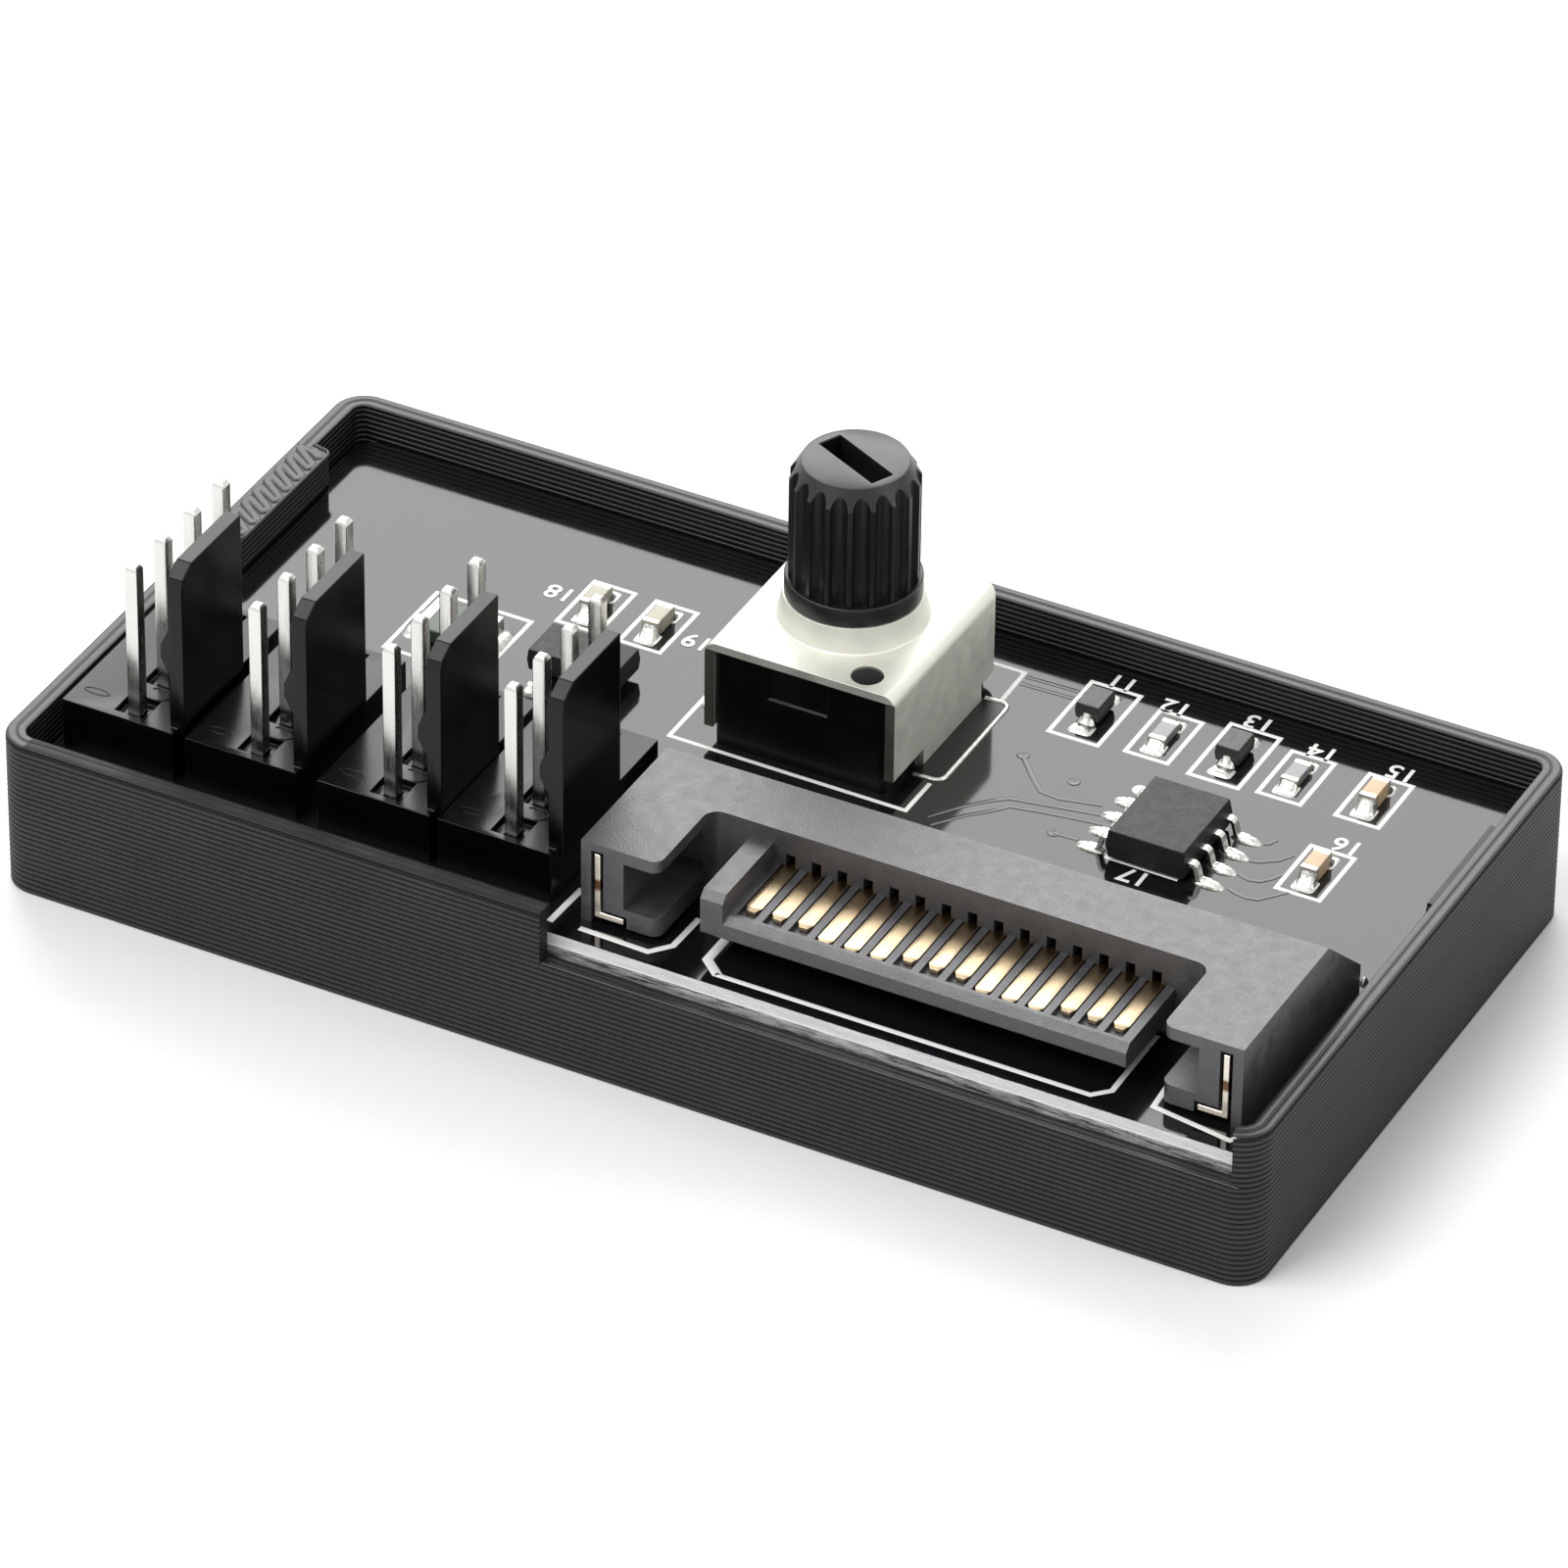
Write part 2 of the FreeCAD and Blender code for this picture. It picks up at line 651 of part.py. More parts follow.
def build_header_pins(number):
    """The four square pins of one header, bevelled at both ends."""
    body = on_board(f"header_pins_{number}", header_place(number), "sizes.header_front")
    square = add_sketch(body, "XY_Plane", f"-{PIN_BOTTOM}")
    square_hole(square, "sizes.pin_size / 2")
    pin = pad(body, square, f"sizes.pin_height + {PIN_BOTTOM}")
    ends = (value("sizes.pin_height"), -value(PIN_BOTTOM))
    tips = dress(body, "Chamfer", lambda edge: any(near(edge.CenterOfMass.z, end) for end in ends),
                 "Size", "sizes.pin_tip")
    length = f"sizes.pin_pitch * {PINS_PER_HEADER - 1}"
    pattern(body, [pin, tips], "Y_Axis", length, PINS_PER_HEADER)
    return body


def build_plug_housing():
    """The flat power plug: back bar, two hollow arms, keyed tongue and two rear cheeks."""
    body = on_board("plug_housing", PLUG_X, "sizes.plug_front")
    block = add_sketch(body, "XY_Plane")
    mouth = "sizes.mouth_depth"
    outline(block, [(f"-{PLUG_HALF}", "0"), (f"-{MOUTH_HALF}", "0"), (f"-{MOUTH_HALF}", mouth),
                    (MOUTH_HALF, mouth), (MOUTH_HALF, "0"), (PLUG_HALF, "0"),
                    (PLUG_HALF, "sizes.plug_depth"), (f"-{PLUG_HALF}", "sizes.plug_depth")])
    pad(body, block, "sizes.plug_height")
    inner = value(MOUTH_HALF)
    back = value(mouth)
    dress(body, "Fillet", lambda edge: upright(edge) and near(abs(edge.BoundBox.XMin), inner)
          and near(edge.BoundBox.YMin, back), "Radius", "sizes.mouth_corner")
    dress(body, "Fillet", lambda edge: upright(edge) and near(abs(edge.BoundBox.XMin), inner)
          and near(edge.BoundBox.YMin, 0), "Radius", "sizes.arm_corner")
    hollow_arms(body)
    add_cheeks(body)
    add_tongue(body)
    cut_contact_ways(body)
    return body


def hollow_arms(body):
    """Open both arms towards the tongue, lift their undersides and slot them for the strips."""
    front = add_sketch(body, "XZ_Plane")
    roof = "sizes.plug_height - sizes.arm_roof"
    strip = f"({PLUG_HALF} - sizes.strip_inset)"
    lift = "sizes.strip_low + sizes.strip_thickness + sizes.strip_fit"
    crown = f"{STRIP_HIGH} + sizes.strip_fit"
    for sign in ("-", ""):
        mouth = f"{sign}{MOUTH_HALF}"
        wall = f"{sign}({PLUG_HALF} - sizes.arm_wall)"
        outline(front, [(mouth, "sizes.arm_floor"), (wall, "sizes.arm_floor"), (wall, roof),
                        (mouth, roof)])
        outer = f"{sign}({strip} + sizes.strip_fit)"
        inner = f"{sign}({strip} - sizes.strip_thickness - sizes.strip_fit)"
        foot = f"{sign}({strip} - sizes.strip_foot - sizes.strip_fit)"
        outline(front, [(outer, "0"), (outer, crown), (inner, crown), (inner, lift), (foot, lift),
                        (foot, "sizes.arm_clear"), (mouth, "sizes.arm_clear"), (mouth, "0")])
    pocket(body, front, "sizes.mouth_depth")


def add_cheeks(body):
    """The sloped cheeks that carry on behind the bar, one at each side."""
    cheek = add_sketch(body, "YZ_Plane", f"{PLUG_HALF} - sizes.cheek_thickness")
    outline(cheek, [("sizes.plug_depth", "0"), ("sizes.plug_depth + sizes.cheek_reach", "0"),
                    ("sizes.plug_depth + sizes.cheek_reach", "sizes.cheek_height"),
                    ("sizes.plug_depth", "sizes.plug_height")])
    right = pad(body, cheek, "sizes.cheek_thickness")
    mirror(body, [right], "YZ_Plane")


def add_tongue(body):
    """The tongue with its bevelled nose, and the key that stands up at its left end."""
    top = TONGUE_TOP
    low = "sizes.tongue_low"
    nose = "sizes.tongue_nose"
    root = "sizes.mouth_depth"
    tongue = add_sketch(body, "YZ_Plane", f"-{TONGUE_LEFT}")
    outline(tongue, [(f"{nose} / 2", low), (root, low), (root, top), (nose, top),
                     ("0", f"{top} - {nose}"), ("0", f"{low} + {nose} / 2")])
    pad(body, tongue, TONGUE_WIDTH)
    key = add_sketch(body, "YZ_Plane", f"-{TONGUE_LEFT}")
    crown = f"({top} + sizes.key_height)"
    outline(key, [("0", f"{top} - {nose}"), (root, f"{top} - {nose}"), (root, crown),
                  (nose, crown), ("0", f"{crown} - {nose}")])
    pad(body, key, "sizes.key_width")


def cut_contact_ways(body):
    """A groove and a passage for each contact, and a square hole above it in the bar."""
    ways = add_sketch(body, "XZ_Plane", "-sizes.contact_long")
    holes = add_sketch(body, "XZ_Plane", "-sizes.mouth_depth")
    reach = "(sizes.contact_width / 2 + sizes.contact_fit)"
    for number in range(CONTACTS):
        middle = contact_place(number)
        rectangle(ways, f"{middle} - {reach}", f"{CONTACT_LOW}", f"{middle} + {reach}", TONGUE_TOP)
        left = f"{middle} - sizes.contact_hole_width / 2"
        right = f"{middle} + sizes.contact_hole_width / 2"
        rectangle(holes, left, TONGUE_TOP, right, f"{TONGUE_TOP} + sizes.contact_hole_height")
    pocket(body, ways, "sizes.plug_depth - sizes.contact_long")
    pocket(body, holes, "sizes.contact_hole_depth")


def build_plug_contacts():
    """The flat contacts, in threes of two lengths, each with a tail through the board."""
    body = on_board("plug_contacts", PLUG_X, "sizes.plug_front")
    strips = add_sketch(body, "XY_Plane", CONTACT_LOW)
    tails = add_sketch(body, "XY_Plane", CONTACT_TOP)
    for number in range(CONTACTS):
        middle = contact_place(number)
        long_group = number // CONTACTS_PER_GROUP % 2 == 1
        front = "sizes.contact_long" if long_group else "sizes.contact_short"
        near_side = f"{tail_row(number)} - sizes.contact_thickness / 2"
        far_side = f"{tail_row(number)} + sizes.contact_thickness / 2"
        rectangle(strips, f"{middle} - sizes.contact_width / 2", front,
                  f"{middle} + sizes.contact_width / 2", far_side)
        rectangle(tails, f"{middle} - sizes.tail_width / 2", near_side,
                  f"{middle} + sizes.tail_width / 2", far_side)
    pad(body, strips, "sizes.contact_thickness")
    pad(body, tails, f"{CONTACT_TOP} + {PIN_BOTTOM}", reverse=True)
    return body


def build_plug_strip(side, sign):
    """A folded metal strip in one arm, with a post through the board."""
    body = on_board(f"plug_strip_{side}", PLUG_X, "sizes.plug_front")
    profile = add_sketch(body, "XZ_Plane")
    outer = f"{sign}({PLUG_HALF} - sizes.strip_inset)"
    inner = f"{sign}({PLUG_HALF} - sizes.strip_inset - sizes.strip_thickness)"
    toe = f"{sign}({PLUG_HALF} - sizes.strip_inset - sizes.strip_foot)"
    low = "sizes.strip_low"
    bend = "sizes.strip_low + sizes.strip_thickness"
    outline(profile, [(outer, low), (outer, STRIP_HIGH), (inner, STRIP_HIGH), (inner, bend),
                      (toe, bend), (toe, low)])
    pad(body, profile, STRIP_LENGTH, reverse=True)
    post = add_sketch(body, "XY_Plane", "sizes.strip_low")
    middle = f"{sign}({PLUG_HALF} - {strip_post_middle()})"
    reach = "sizes.strip_thickness / 2"
    rectangle(post, f"{middle} - {reach}", f"{STRIP_LENGTH} / 2 - sizes.strip_post / 2",
              f"{middle} + {reach}", f"{STRIP_LENGTH} / 2 + sizes.strip_post / 2")
    pad(body, post, f"sizes.strip_low + {PIN_BOTTOM}", reverse=True)
    return body


def build_dial_cover():
    """The drawn metal cover: open front, rounded bends, two lugs, a collar and a stud hole."""
    body = on_board("dial_cover", DIAL_X, DIAL_Y)
    half = "(sizes.cover_width / 2)"
    block = add_sketch(body, "XY_Plane", "sizes.cover_skirt")
    rectangle(block, f"-{half}", "-sizes.cover_front", half, "sizes.cover_back")
    pad(body, block, "sizes.cover_height - sizes.cover_skirt")
    back = value("sizes.cover_back")
    front = -value("sizes.cover_front")
    dress(body, "Fillet", lambda edge: upright(edge) and near(edge.BoundBox.YMin, back),
          "Radius", "sizes.cover_corner")
    top = value("sizes.cover_height")
    dress(body, "Fillet", lambda edge: near(edge.BoundBox.ZMin, top)
          and not near(edge.BoundBox.YMax, front), "Radius", "sizes.cover_bend")

    hollow = add_sketch(body, "XY_Plane", "sizes.cover_skirt")
    rectangle(hollow, f"-{CASE_HALF}", "-sizes.cover_front", CASE_HALF, CASE_BACK)
    pocket(body, hollow, f"{COVER_UNDER} - sizes.cover_skirt", reverse=True)
    inner_back = value(CASE_BACK)
    dress(body, "Fillet", lambda edge: upright(edge) and near(edge.BoundBox.YMin, inner_back),
          "Radius", CASE_CORNER)

    lug = add_sketch(body, "YZ_Plane", f"{CASE_HALF}")
    outline(lug, [("-sizes.lug_front", "sizes.cover_skirt"), ("-sizes.lug_front", "0"),
                  ("-sizes.lug_front / 2", "-(sizes.board_thickness + sizes.lug_tail)"),
                  ("sizes.lug_back / 2", "-(sizes.board_thickness + sizes.lug_tail)"),
                  ("sizes.lug_back", "0"), ("sizes.lug_back", "sizes.cover_skirt")])
    right = pad(body, lug, "sizes.cover_sheet")
    mirror(body, [right], "YZ_Plane")

    add_collar(body)
    hole = add_sketch(body, "XY_Plane", "sizes.cover_height")
    circle(hole, "sizes.stud_hole_x", "-sizes.stud_hole_y", "sizes.stud_hole")
    pocket(body, hole, "sizes.cover_sheet")
    return body


def add_collar(body):
    """The tapered collar round the shaft, turned as one ring, and its bore."""
    rim = "sizes.cover_height + sizes.collar_height"
    collar = add_sketch(body, "XZ_Plane")
    bore = "(sizes.neck_diameter / 2 + sizes.running_gap)"
    outline(collar, [(bore, COVER_UNDER), ("sizes.collar_foot / 2", COVER_UNDER),
                     ("sizes.collar_foot / 2", "sizes.cover_height"), ("sizes.collar_rim / 2", rim),
                     (bore, rim)])
    ring = body.newObject("PartDesign::Revolution", "dial_cover_collar")
    ring.Profile = collar
    ring.ReferenceAxis = (collar, ["V_Axis"])
    ring.Angle = 360
    doc.recompute()
    opening = add_sketch(body, "XY_Plane", rim)
    circle(opening, "0", "0", f"2 * {bore}")
    pocket(body, opening, "sizes.collar_height + sizes.cover_sheet")


def build_dial_case():
    """The moulded case: a seat for the rotor, a pivot hole, a stud and a mark in its front."""
    body = on_board("dial_case", DIAL_X, DIAL_Y)
    block = add_sketch(body, "XY_Plane")
    rectangle(block, f"-{CASE_HALF}", "sizes.case_inset - sizes.cover_front", CASE_HALF, CASE_BACK)
    pad(body, block, COVER_UNDER)
    back = value(CASE_BACK)
    dress(body, "Fillet", lambda edge: upright(edge) and near(edge.BoundBox.YMin, back),
          "Radius", CASE_CORNER)
    front = value("sizes.case_inset - sizes.cover_front")
    dress(body, "Fillet", lambda edge: upright(edge) and near(edge.BoundBox.YMin, front),
          "Radius", "sizes.case_edge")
    mark = add_sketch(body, "XZ_Plane", "sizes.cover_front - sizes.case_inset")
    rectangle(mark, "-sizes.mark_left", f"{COVER_UNDER} - sizes.mark_height",
              "sizes.mark_width - sizes.mark_left", COVER_UNDER)
    pocket(body, mark, "sizes.mark_depth")
    stud = add_sketch(body, "XY_Plane", COVER_UNDER)
    circle(stud, "sizes.stud_hole_x", "-sizes.stud_hole_y",
           "sizes.stud_hole - 2 * sizes.stud_fit")
    pad(body, stud, "sizes.cover_sheet - sizes.stud_sink")
    seat = add_sketch(body, "XY_Plane", COVER_UNDER)
    circle(seat, "0", "0", "sizes.rotor_diameter + 4 * sizes.running_gap")
    pocket(body, seat, "sizes.rotor_thickness + 2 * sizes.running_gap")
    pivot = add_sketch(body, "XY_Plane", COVER_UNDER)
    circle(pivot, "0", "0", "sizes.pivot_diameter + 2 * sizes.running_gap")
    pocket(body, pivot, f"{COVER_UNDER} - {ROTOR_LOW} + sizes.pivot_length + 2 * sizes.running_gap")
    return body


def build_dial_shaft():
    """The turning shaft: pivot, rotor, neck, smooth ring, splined end and driver slot."""
    body = on_board("dial_shaft", DIAL_X, DIAL_Y)
    body.Placement.Rotation = FreeCAD.Rotation(Vector(0, 0, -1), 1)
    body.setExpression("Placement.Rotation.Angle", "-sizes.dial_turn")
    half = add_sketch(body, "XZ_Plane")
    tip = f"({SHAFT_TOP} - sizes.face_slope)"
    outline(half, [("0", f"{ROTOR_LOW} - sizes.pivot_length"),
                   ("sizes.pivot_diameter / 2", f"{ROTOR_LOW} - sizes.pivot_length"),
                   ("sizes.pivot_diameter / 2", ROTOR_LOW), ("sizes.rotor_diameter / 2", ROTOR_LOW),
                   ("sizes.rotor_diameter / 2", ROTOR_TOP), ("sizes.neck_diameter / 2", ROTOR_TOP),
                   ("sizes.neck_diameter / 2", RING_LOW), ("sizes.ring_diameter / 2", RING_LOW),
                   ("sizes.ring_diameter / 2", SPLINE_LOW), ("sizes.spline_diameter / 2", SPLINE_LOW),
                   ("sizes.spline_diameter / 2", tip), ("sizes.face_diameter / 2", SHAFT_TOP),
                   ("0", SHAFT_TOP)])
    turned = body.newObject("PartDesign::Revolution", "dial_shaft_turned")
    turned.Profile = half
    turned.ReferenceAxis = (half, ["V_Axis"])
    turned.Angle = 360
    doc.recompute()

    groove = add_sketch(body, "XY_Plane", SHAFT_TOP)
    circle(groove, f"sizes.groove_centre * cos(180deg / sizes.spline_count)",
           f"sizes.groove_centre * sin(180deg / sizes.spline_count)", "sizes.groove_diameter")
    cut = pocket(body, groove, "sizes.spline_length")
    ring = body.newObject("PartDesign::PolarPattern", "dial_shaft_grooves")
    ring.Originals = [cut]
    ring.Axis = (origin_feature(body, "Z_Axis"), [""])
    ring.Angle = 360
    ring.setExpression("Occurrences", "sizes.spline_count")
    body.Tip = ring
    doc.recompute()

    slot = add_sketch(body, "XY_Plane", SHAFT_TOP)
    rectangle(slot, "-sizes.slot_length / 2", "-sizes.slot_width / 2",
              "sizes.slot_length / 2", "sizes.slot_width / 2")
    pocket(body, slot, "sizes.slot_depth")
    return body


def build_dial_terminals():
    """Three flat terminals that leave the back of the case and turn down through the board."""
    body = on_board("dial_terminals", DIAL_X, DIAL_Y)
    start = CASE_BACK
    end = f"({start} + sizes.terminal_reach)"
    low = "sizes.terminal_level"
    top = f"({low} + sizes.terminal_thickness)"
    half = "sizes.terminal_width / 2"
    side = add_sketch(body, "YZ_Plane", f"-{half} - sizes.terminal_pitch")
    outline(side, [(start, low), (f"{end} - sizes.terminal_thickness", low),
                   (f"{end} - sizes.terminal_thickness", f"-{PIN_BOTTOM}"),
                   (end, f"-{PIN_BOTTOM}"), (end, top), (start, top)])
    first = pad(body, side, "sizes.terminal_width")
    pattern(body, [first], "X_Axis", f"sizes.terminal_pitch * {TERMINALS - 1}", TERMINALS)
    return body


def moulded_block(body, width, length, height, standoff, draft):
    """A block moulded in two halves, whose sides lean in above and below its middle."""
    middle = f"(({standoff} + {height}) / 2)"
    plan = add_sketch(body, "XY_Plane", middle)
    rectangle(plan, f"-{width} / 2", f"-{length} / 2", f"{width} / 2", f"{length} / 2")
    feature = body.newObject("PartDesign::Pad", f"{body.Name}_pad")
    feature.Profile = plan
    feature.SideType = "Two sides"
    feature.setExpression("Length", f"{height} - {middle}")
    feature.setExpression("Length2", f"{middle} - {standoff}")
    feature.setExpression("TaperAngle", f"-{draft}")
    feature.setExpression("TaperAngle2", f"-{draft}")
    doc.recompute()
    return feature


def build_chip():
    """The eight-legged timer chip's moulded body."""
    body = at_edges("timer_chip", "chip")
    moulded_block(body, "sizes.chip_width", "sizes.chip_length", "sizes.chip_height",
                  "sizes.chip_standoff", "sizes.chip_draft")
    return body


def build_chip_leads():
    """The chip's eight gull-wing leads, four on each side."""
    body = at_edges("timer_chip_leads", "chip")
    middle = "((sizes.chip_standoff + sizes.chip_height) / 2)"
    root = "(sizes.chip_width / 2)"
    tip = "(sizes.lead_span / 2)"
    heel = f"({tip} - sizes.lead_foot)"
    thick = "sizes.lead_thickness"
    row_half = f"sizes.lead_pitch * {(LEADS_PER_SIDE - 1) / 2}"
    side = add_sketch(body, "XZ_Plane", f"{row_half} + sizes.lead_width / 2")
    low = f"{middle} - {thick} / 2"
    high = f"{middle} + {thick} / 2"
    outline(side, [(root, low), (f"{heel} - {thick}", low), (heel, "0"), (tip, "0"), (tip, thick),
                   (f"{heel} + {thick}", thick), (heel, high), (root, high)])
    first = pad(body, side, "sizes.lead_width", reverse=True)
    double_row(body, first)
    return body


def double_row(body, first):
    """Repeat a lead in a row, and the row on the other side, as one combined feature."""
    both = body.newObject("PartDesign::MultiTransform", f"{body.Name}_rows")
    line = body.newObject("PartDesign::LinearPattern", f"{body.Name}_line")
    line.Direction = (origin_feature(body, "Y_Axis"), [""])
    line.setExpression("Length", f"sizes.lead_pitch * {LEADS_PER_SIDE - 1}")
    line.Occurrences = LEADS_PER_SIDE
    turn = body.newObject("PartDesign::Mirrored", f"{body.Name}_turn")
    turn.MirrorPlane = (origin_feature(body, "YZ_Plane"), [""])
    both.Originals = [first]
    both.Transformations = [line, turn]
    body.Tip = both
    doc.recompute()


def build_two_ended(name, width, length, cap, height, axis):
    """A small block with a slightly larger metal cap fused on each end."""
    body = at_edges(name, name)
    plate = "sizes.cap_plating"
    core = add_sketch(body, "XY_Plane", plate)
    caps = add_sketch(body, "XY_Plane")
    inner = f"({length} / 2 - {cap})"
    spans = [(f"-{length} / 2", f"-{inner}"), (inner, f"{length} / 2")]
    if axis == "Y":
        rectangle(core, f"-{width} / 2 + {plate}", f"-{inner} - {cap} / 2",
                  f"{width} / 2 - {plate}", f"{inner} + {cap} / 2")
        for low, high in spans:
            rectangle(caps, f"-{width} / 2", low, f"{width} / 2", high)
    else:
        rectangle(core, f"-{inner} - {cap} / 2", f"-{width} / 2 + {plate}",
                  f"{inner} + {cap} / 2", f"{width} / 2 - {plate}")
        for low, high in spans:
            rectangle(caps, low, f"-{width} / 2", high, f"{width} / 2")
    pad(body, core, f"{height} - 2 * {plate}")
    pad(body, caps, height)
    return body


def build_diode(number):
    """A small moulded diode."""
    body = at_edges(f"diode_{number}", f"diode_{number}")
    moulded_block(body, "sizes.diode_width", "sizes.diode_length", "sizes.diode_height",
                  "sizes.diode_lead_thickness", "sizes.chip_draft")
    return body


def build_diode_leads(number):
    """The diode's two flat leads, from its ends to the board."""
    body = at_edges(f"diode_{number}_leads", f"diode_{number}")
    plan = add_sketch(body, "XY_Plane")
    half = "sizes.diode_lead_width / 2"
    end = "(sizes.diode_length / 2 + sizes.diode_lead_reach)"
    rectangle(plan, f"-{half}", "sizes.diode_length / 4", half, end)
    first = pad(body, plan, "sizes.diode_lead_thickness")
    mirror(body, [first], "XZ_Plane")
    return body


def build_regulator():
    """The voltage regulator's moulded body."""
    body = at_edges("regulator", "regulator")
    moulded_block(body, "sizes.regulator_width", "sizes.regulator_length", "sizes.regulator_height",
                  "sizes.regulator_lead_thickness", "sizes.regulator_draft")
    return body


def build_regulator_leads():
    """The regulator's three leads at the front and the tab of the middle one at the back."""
    body = at_edges("regulator_leads", "regulator")
    plan = add_sketch(body, "XY_Plane")
    half = "sizes.regulator_lead_width / 2"
    pitch = "sizes.regulator_lead_pitch"
    front = "(-sizes.regulator_length / 2 - sizes.regulator_lead_reach)"
    back = "(sizes.regulator_length / 2 + sizes.regulator_tab_reach)"
    tab = "sizes.regulator_tab_width / 2"
    inside = "(-sizes.regulator_length / 4)"
    for sign in ("-", "+"):
        middle = f"{sign}{pitch}"
        rectangle(plan, f"{middle} - {half}", front, f"{middle} + {half}", inside)
    outline(plan, [(f"-{half}", front), (half, front), (half, "0"), (tab, "0"), (tab, back),
                   (f"-{tab}", back), (f"-{tab}", "0"), (f"-{half}", "0")])
    pad(body, plan, "sizes.regulator_lead_thickness")
    return body


def build_all():
    """Build every piece and return them in order."""
    pieces = [build_tray(), build_board()]
    for number in HEADERS:
        pieces += [build_header(number), build_header_pins(number)]
    pieces += [build_plug_housing(), build_plug_contacts()]
    pieces += [build_plug_strip("left", "-"), build_plug_strip("right", "+")]
    pieces += [build_dial_cover(), build_dial_case(), build_dial_shaft(), build_dial_terminals()]
    pieces += [build_chip(), build_chip_leads(), build_regulator(), build_regulator_leads()]
    for number in (1, 2):
        pieces += [build_diode(number), build_diode_leads(number)]
        pieces.append(build_two_ended(f"resistor_{number}", "sizes.chip_part_width",
                                      "sizes.chip_part_length", "sizes.chip_part_cap",
                                      "sizes.resistor_height", "Y"))
    for number in (1, 2, 3, 4):
        pieces.append(build_two_ended(f"capacitor_{number}", "sizes.chip_part_width",
                                      "sizes.chip_part_length", "sizes.chip_part_cap",
                                      "sizes.capacitor_height", "Y"))
    pieces.append(build_two_ended("fuse", "sizes.fuse_width", "sizes.fuse_length",
                                  "sizes.fuse_cap", "sizes.fuse_height", "X"))
    return pieces


def check(pieces):
    """Stop if any feature failed or any piece has no sound solid."""
    for item in doc.Objects:
        if "Invalid" in item.State or "Error" in item.State:
            raise RuntimeError(f"{item.Name} failed: {item.State}")
    for piece in pieces:
        if piece.Shape.isNull() or not piece.Shape.isValid() or not piece.Shape.Solids:
            raise RuntimeError(f"{piece.Label} has no sound solid")


def export(pieces):
    """Write each piece to a file with its own name."""
    os.makedirs("parts", exist_ok=True)
    for piece in pieces:
        piece.Shape.exportStep(f"parts/{piece.Label}.step")
        print(piece.Label, len(piece.Shape.Solids), round(piece.Shape.Volume, 3))


pieces = build_all()
doc.recompute()
check(pieces)
export(pieces)
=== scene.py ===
"""Looks for a four-channel fan speed hub, laid out as an add-on and run as a script.

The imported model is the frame. Each operator dresses one piece or a group of like pieces: it
works out surfaces with numpy in millimetres, or merges and bevels a copy of a solid, and gives
them procedural materials. The board's upper face, the headers, the plug and the dial all take
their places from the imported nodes.
"""

import math

import bmesh
import bpy
import numpy as np
from mathutils import Matrix, Vector


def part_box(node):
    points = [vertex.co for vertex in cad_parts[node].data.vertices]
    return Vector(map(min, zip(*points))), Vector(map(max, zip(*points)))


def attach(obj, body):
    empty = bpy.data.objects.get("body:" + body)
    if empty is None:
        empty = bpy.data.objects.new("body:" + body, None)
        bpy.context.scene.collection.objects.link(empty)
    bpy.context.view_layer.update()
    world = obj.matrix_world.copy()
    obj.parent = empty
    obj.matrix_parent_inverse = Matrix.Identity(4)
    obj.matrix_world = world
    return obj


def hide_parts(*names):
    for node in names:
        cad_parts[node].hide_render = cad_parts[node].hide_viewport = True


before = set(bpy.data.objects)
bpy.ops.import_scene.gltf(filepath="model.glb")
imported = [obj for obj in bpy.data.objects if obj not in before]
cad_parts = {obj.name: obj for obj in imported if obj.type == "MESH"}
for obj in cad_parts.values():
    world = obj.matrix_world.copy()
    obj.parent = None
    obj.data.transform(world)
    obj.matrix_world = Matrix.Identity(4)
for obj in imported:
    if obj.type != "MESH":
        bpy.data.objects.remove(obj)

bl_info = {
    "name": "Fan hub looks",
    "version": (1, 0, 0),
    "blender": (4, 5, 0),
    "location": "View3D > Sidebar > Fan hub",
    "description": "Dresses the fan hub: printed tray, lacquered board, headers, plug and dial",
    "category": "Object",
}

MM = 0.001
HUB = "hub"
DIAL = "dial"

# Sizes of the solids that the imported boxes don't give, in millimetres
CORNER = 1.5
WINDOW = (-3.5, 30.3)
SILL = 5.35
COVER_HEIGHT = 5.4


def span(node):
    """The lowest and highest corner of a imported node, in millimetres."""
    low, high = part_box(node)
    return np.array(low) / MM, np.array(high) / MM


BOARD_LOW, BOARD_HIGH = span("circuit_board")
TOP = float(BOARD_HIGH[2])


# Shapes: each is a pair of points, in millimetres, and faces


def grid_faces(rows, columns, wrap=False):
    """Quads between neighbouring points of a rows by columns grid; wrap joins the last column
    to the first."""
    last = columns if wrap else columns - 1
    row, column = np.meshgrid(np.arange(rows - 1), np.arange(last), indexing="ij")
    following = (column + 1) % columns
    corners = (row * columns + column, row * columns + following,
               (row + 1) * columns + following, (row + 1) * columns + column)
    return np.stack(corners, -1).reshape(-1, 4)


def grid_shape(points, wrap=False, ends=False):
    """The surface P[row, column]. Closed rows can get a flat face over the first and last."""
    rows, columns = points.shape[:2]
    faces = grid_faces(rows, columns, wrap).tolist()
    if ends:
        faces.append(list(range(columns))[::-1])
        faces.append(list(range((rows - 1) * columns, rows * columns)))
    return points.reshape(-1, 3), faces


def join(shapes):
    """Several shapes as one, with their faces renumbered."""
    points, faces, start = [], [], 0
    for some_points, some_faces in shapes:
        points.append(some_points)
        faces += [[corner + start for corner in face] for face in some_faces]
        start += len(some_points)
    return np.concatenate(points), faces


def moved(shape, x=0.0, y=0.0, z=0.0):
    """A shape in another place: P + (x, y, z)."""
    return shape[0] + np.array((x, y, z)), shape[1]


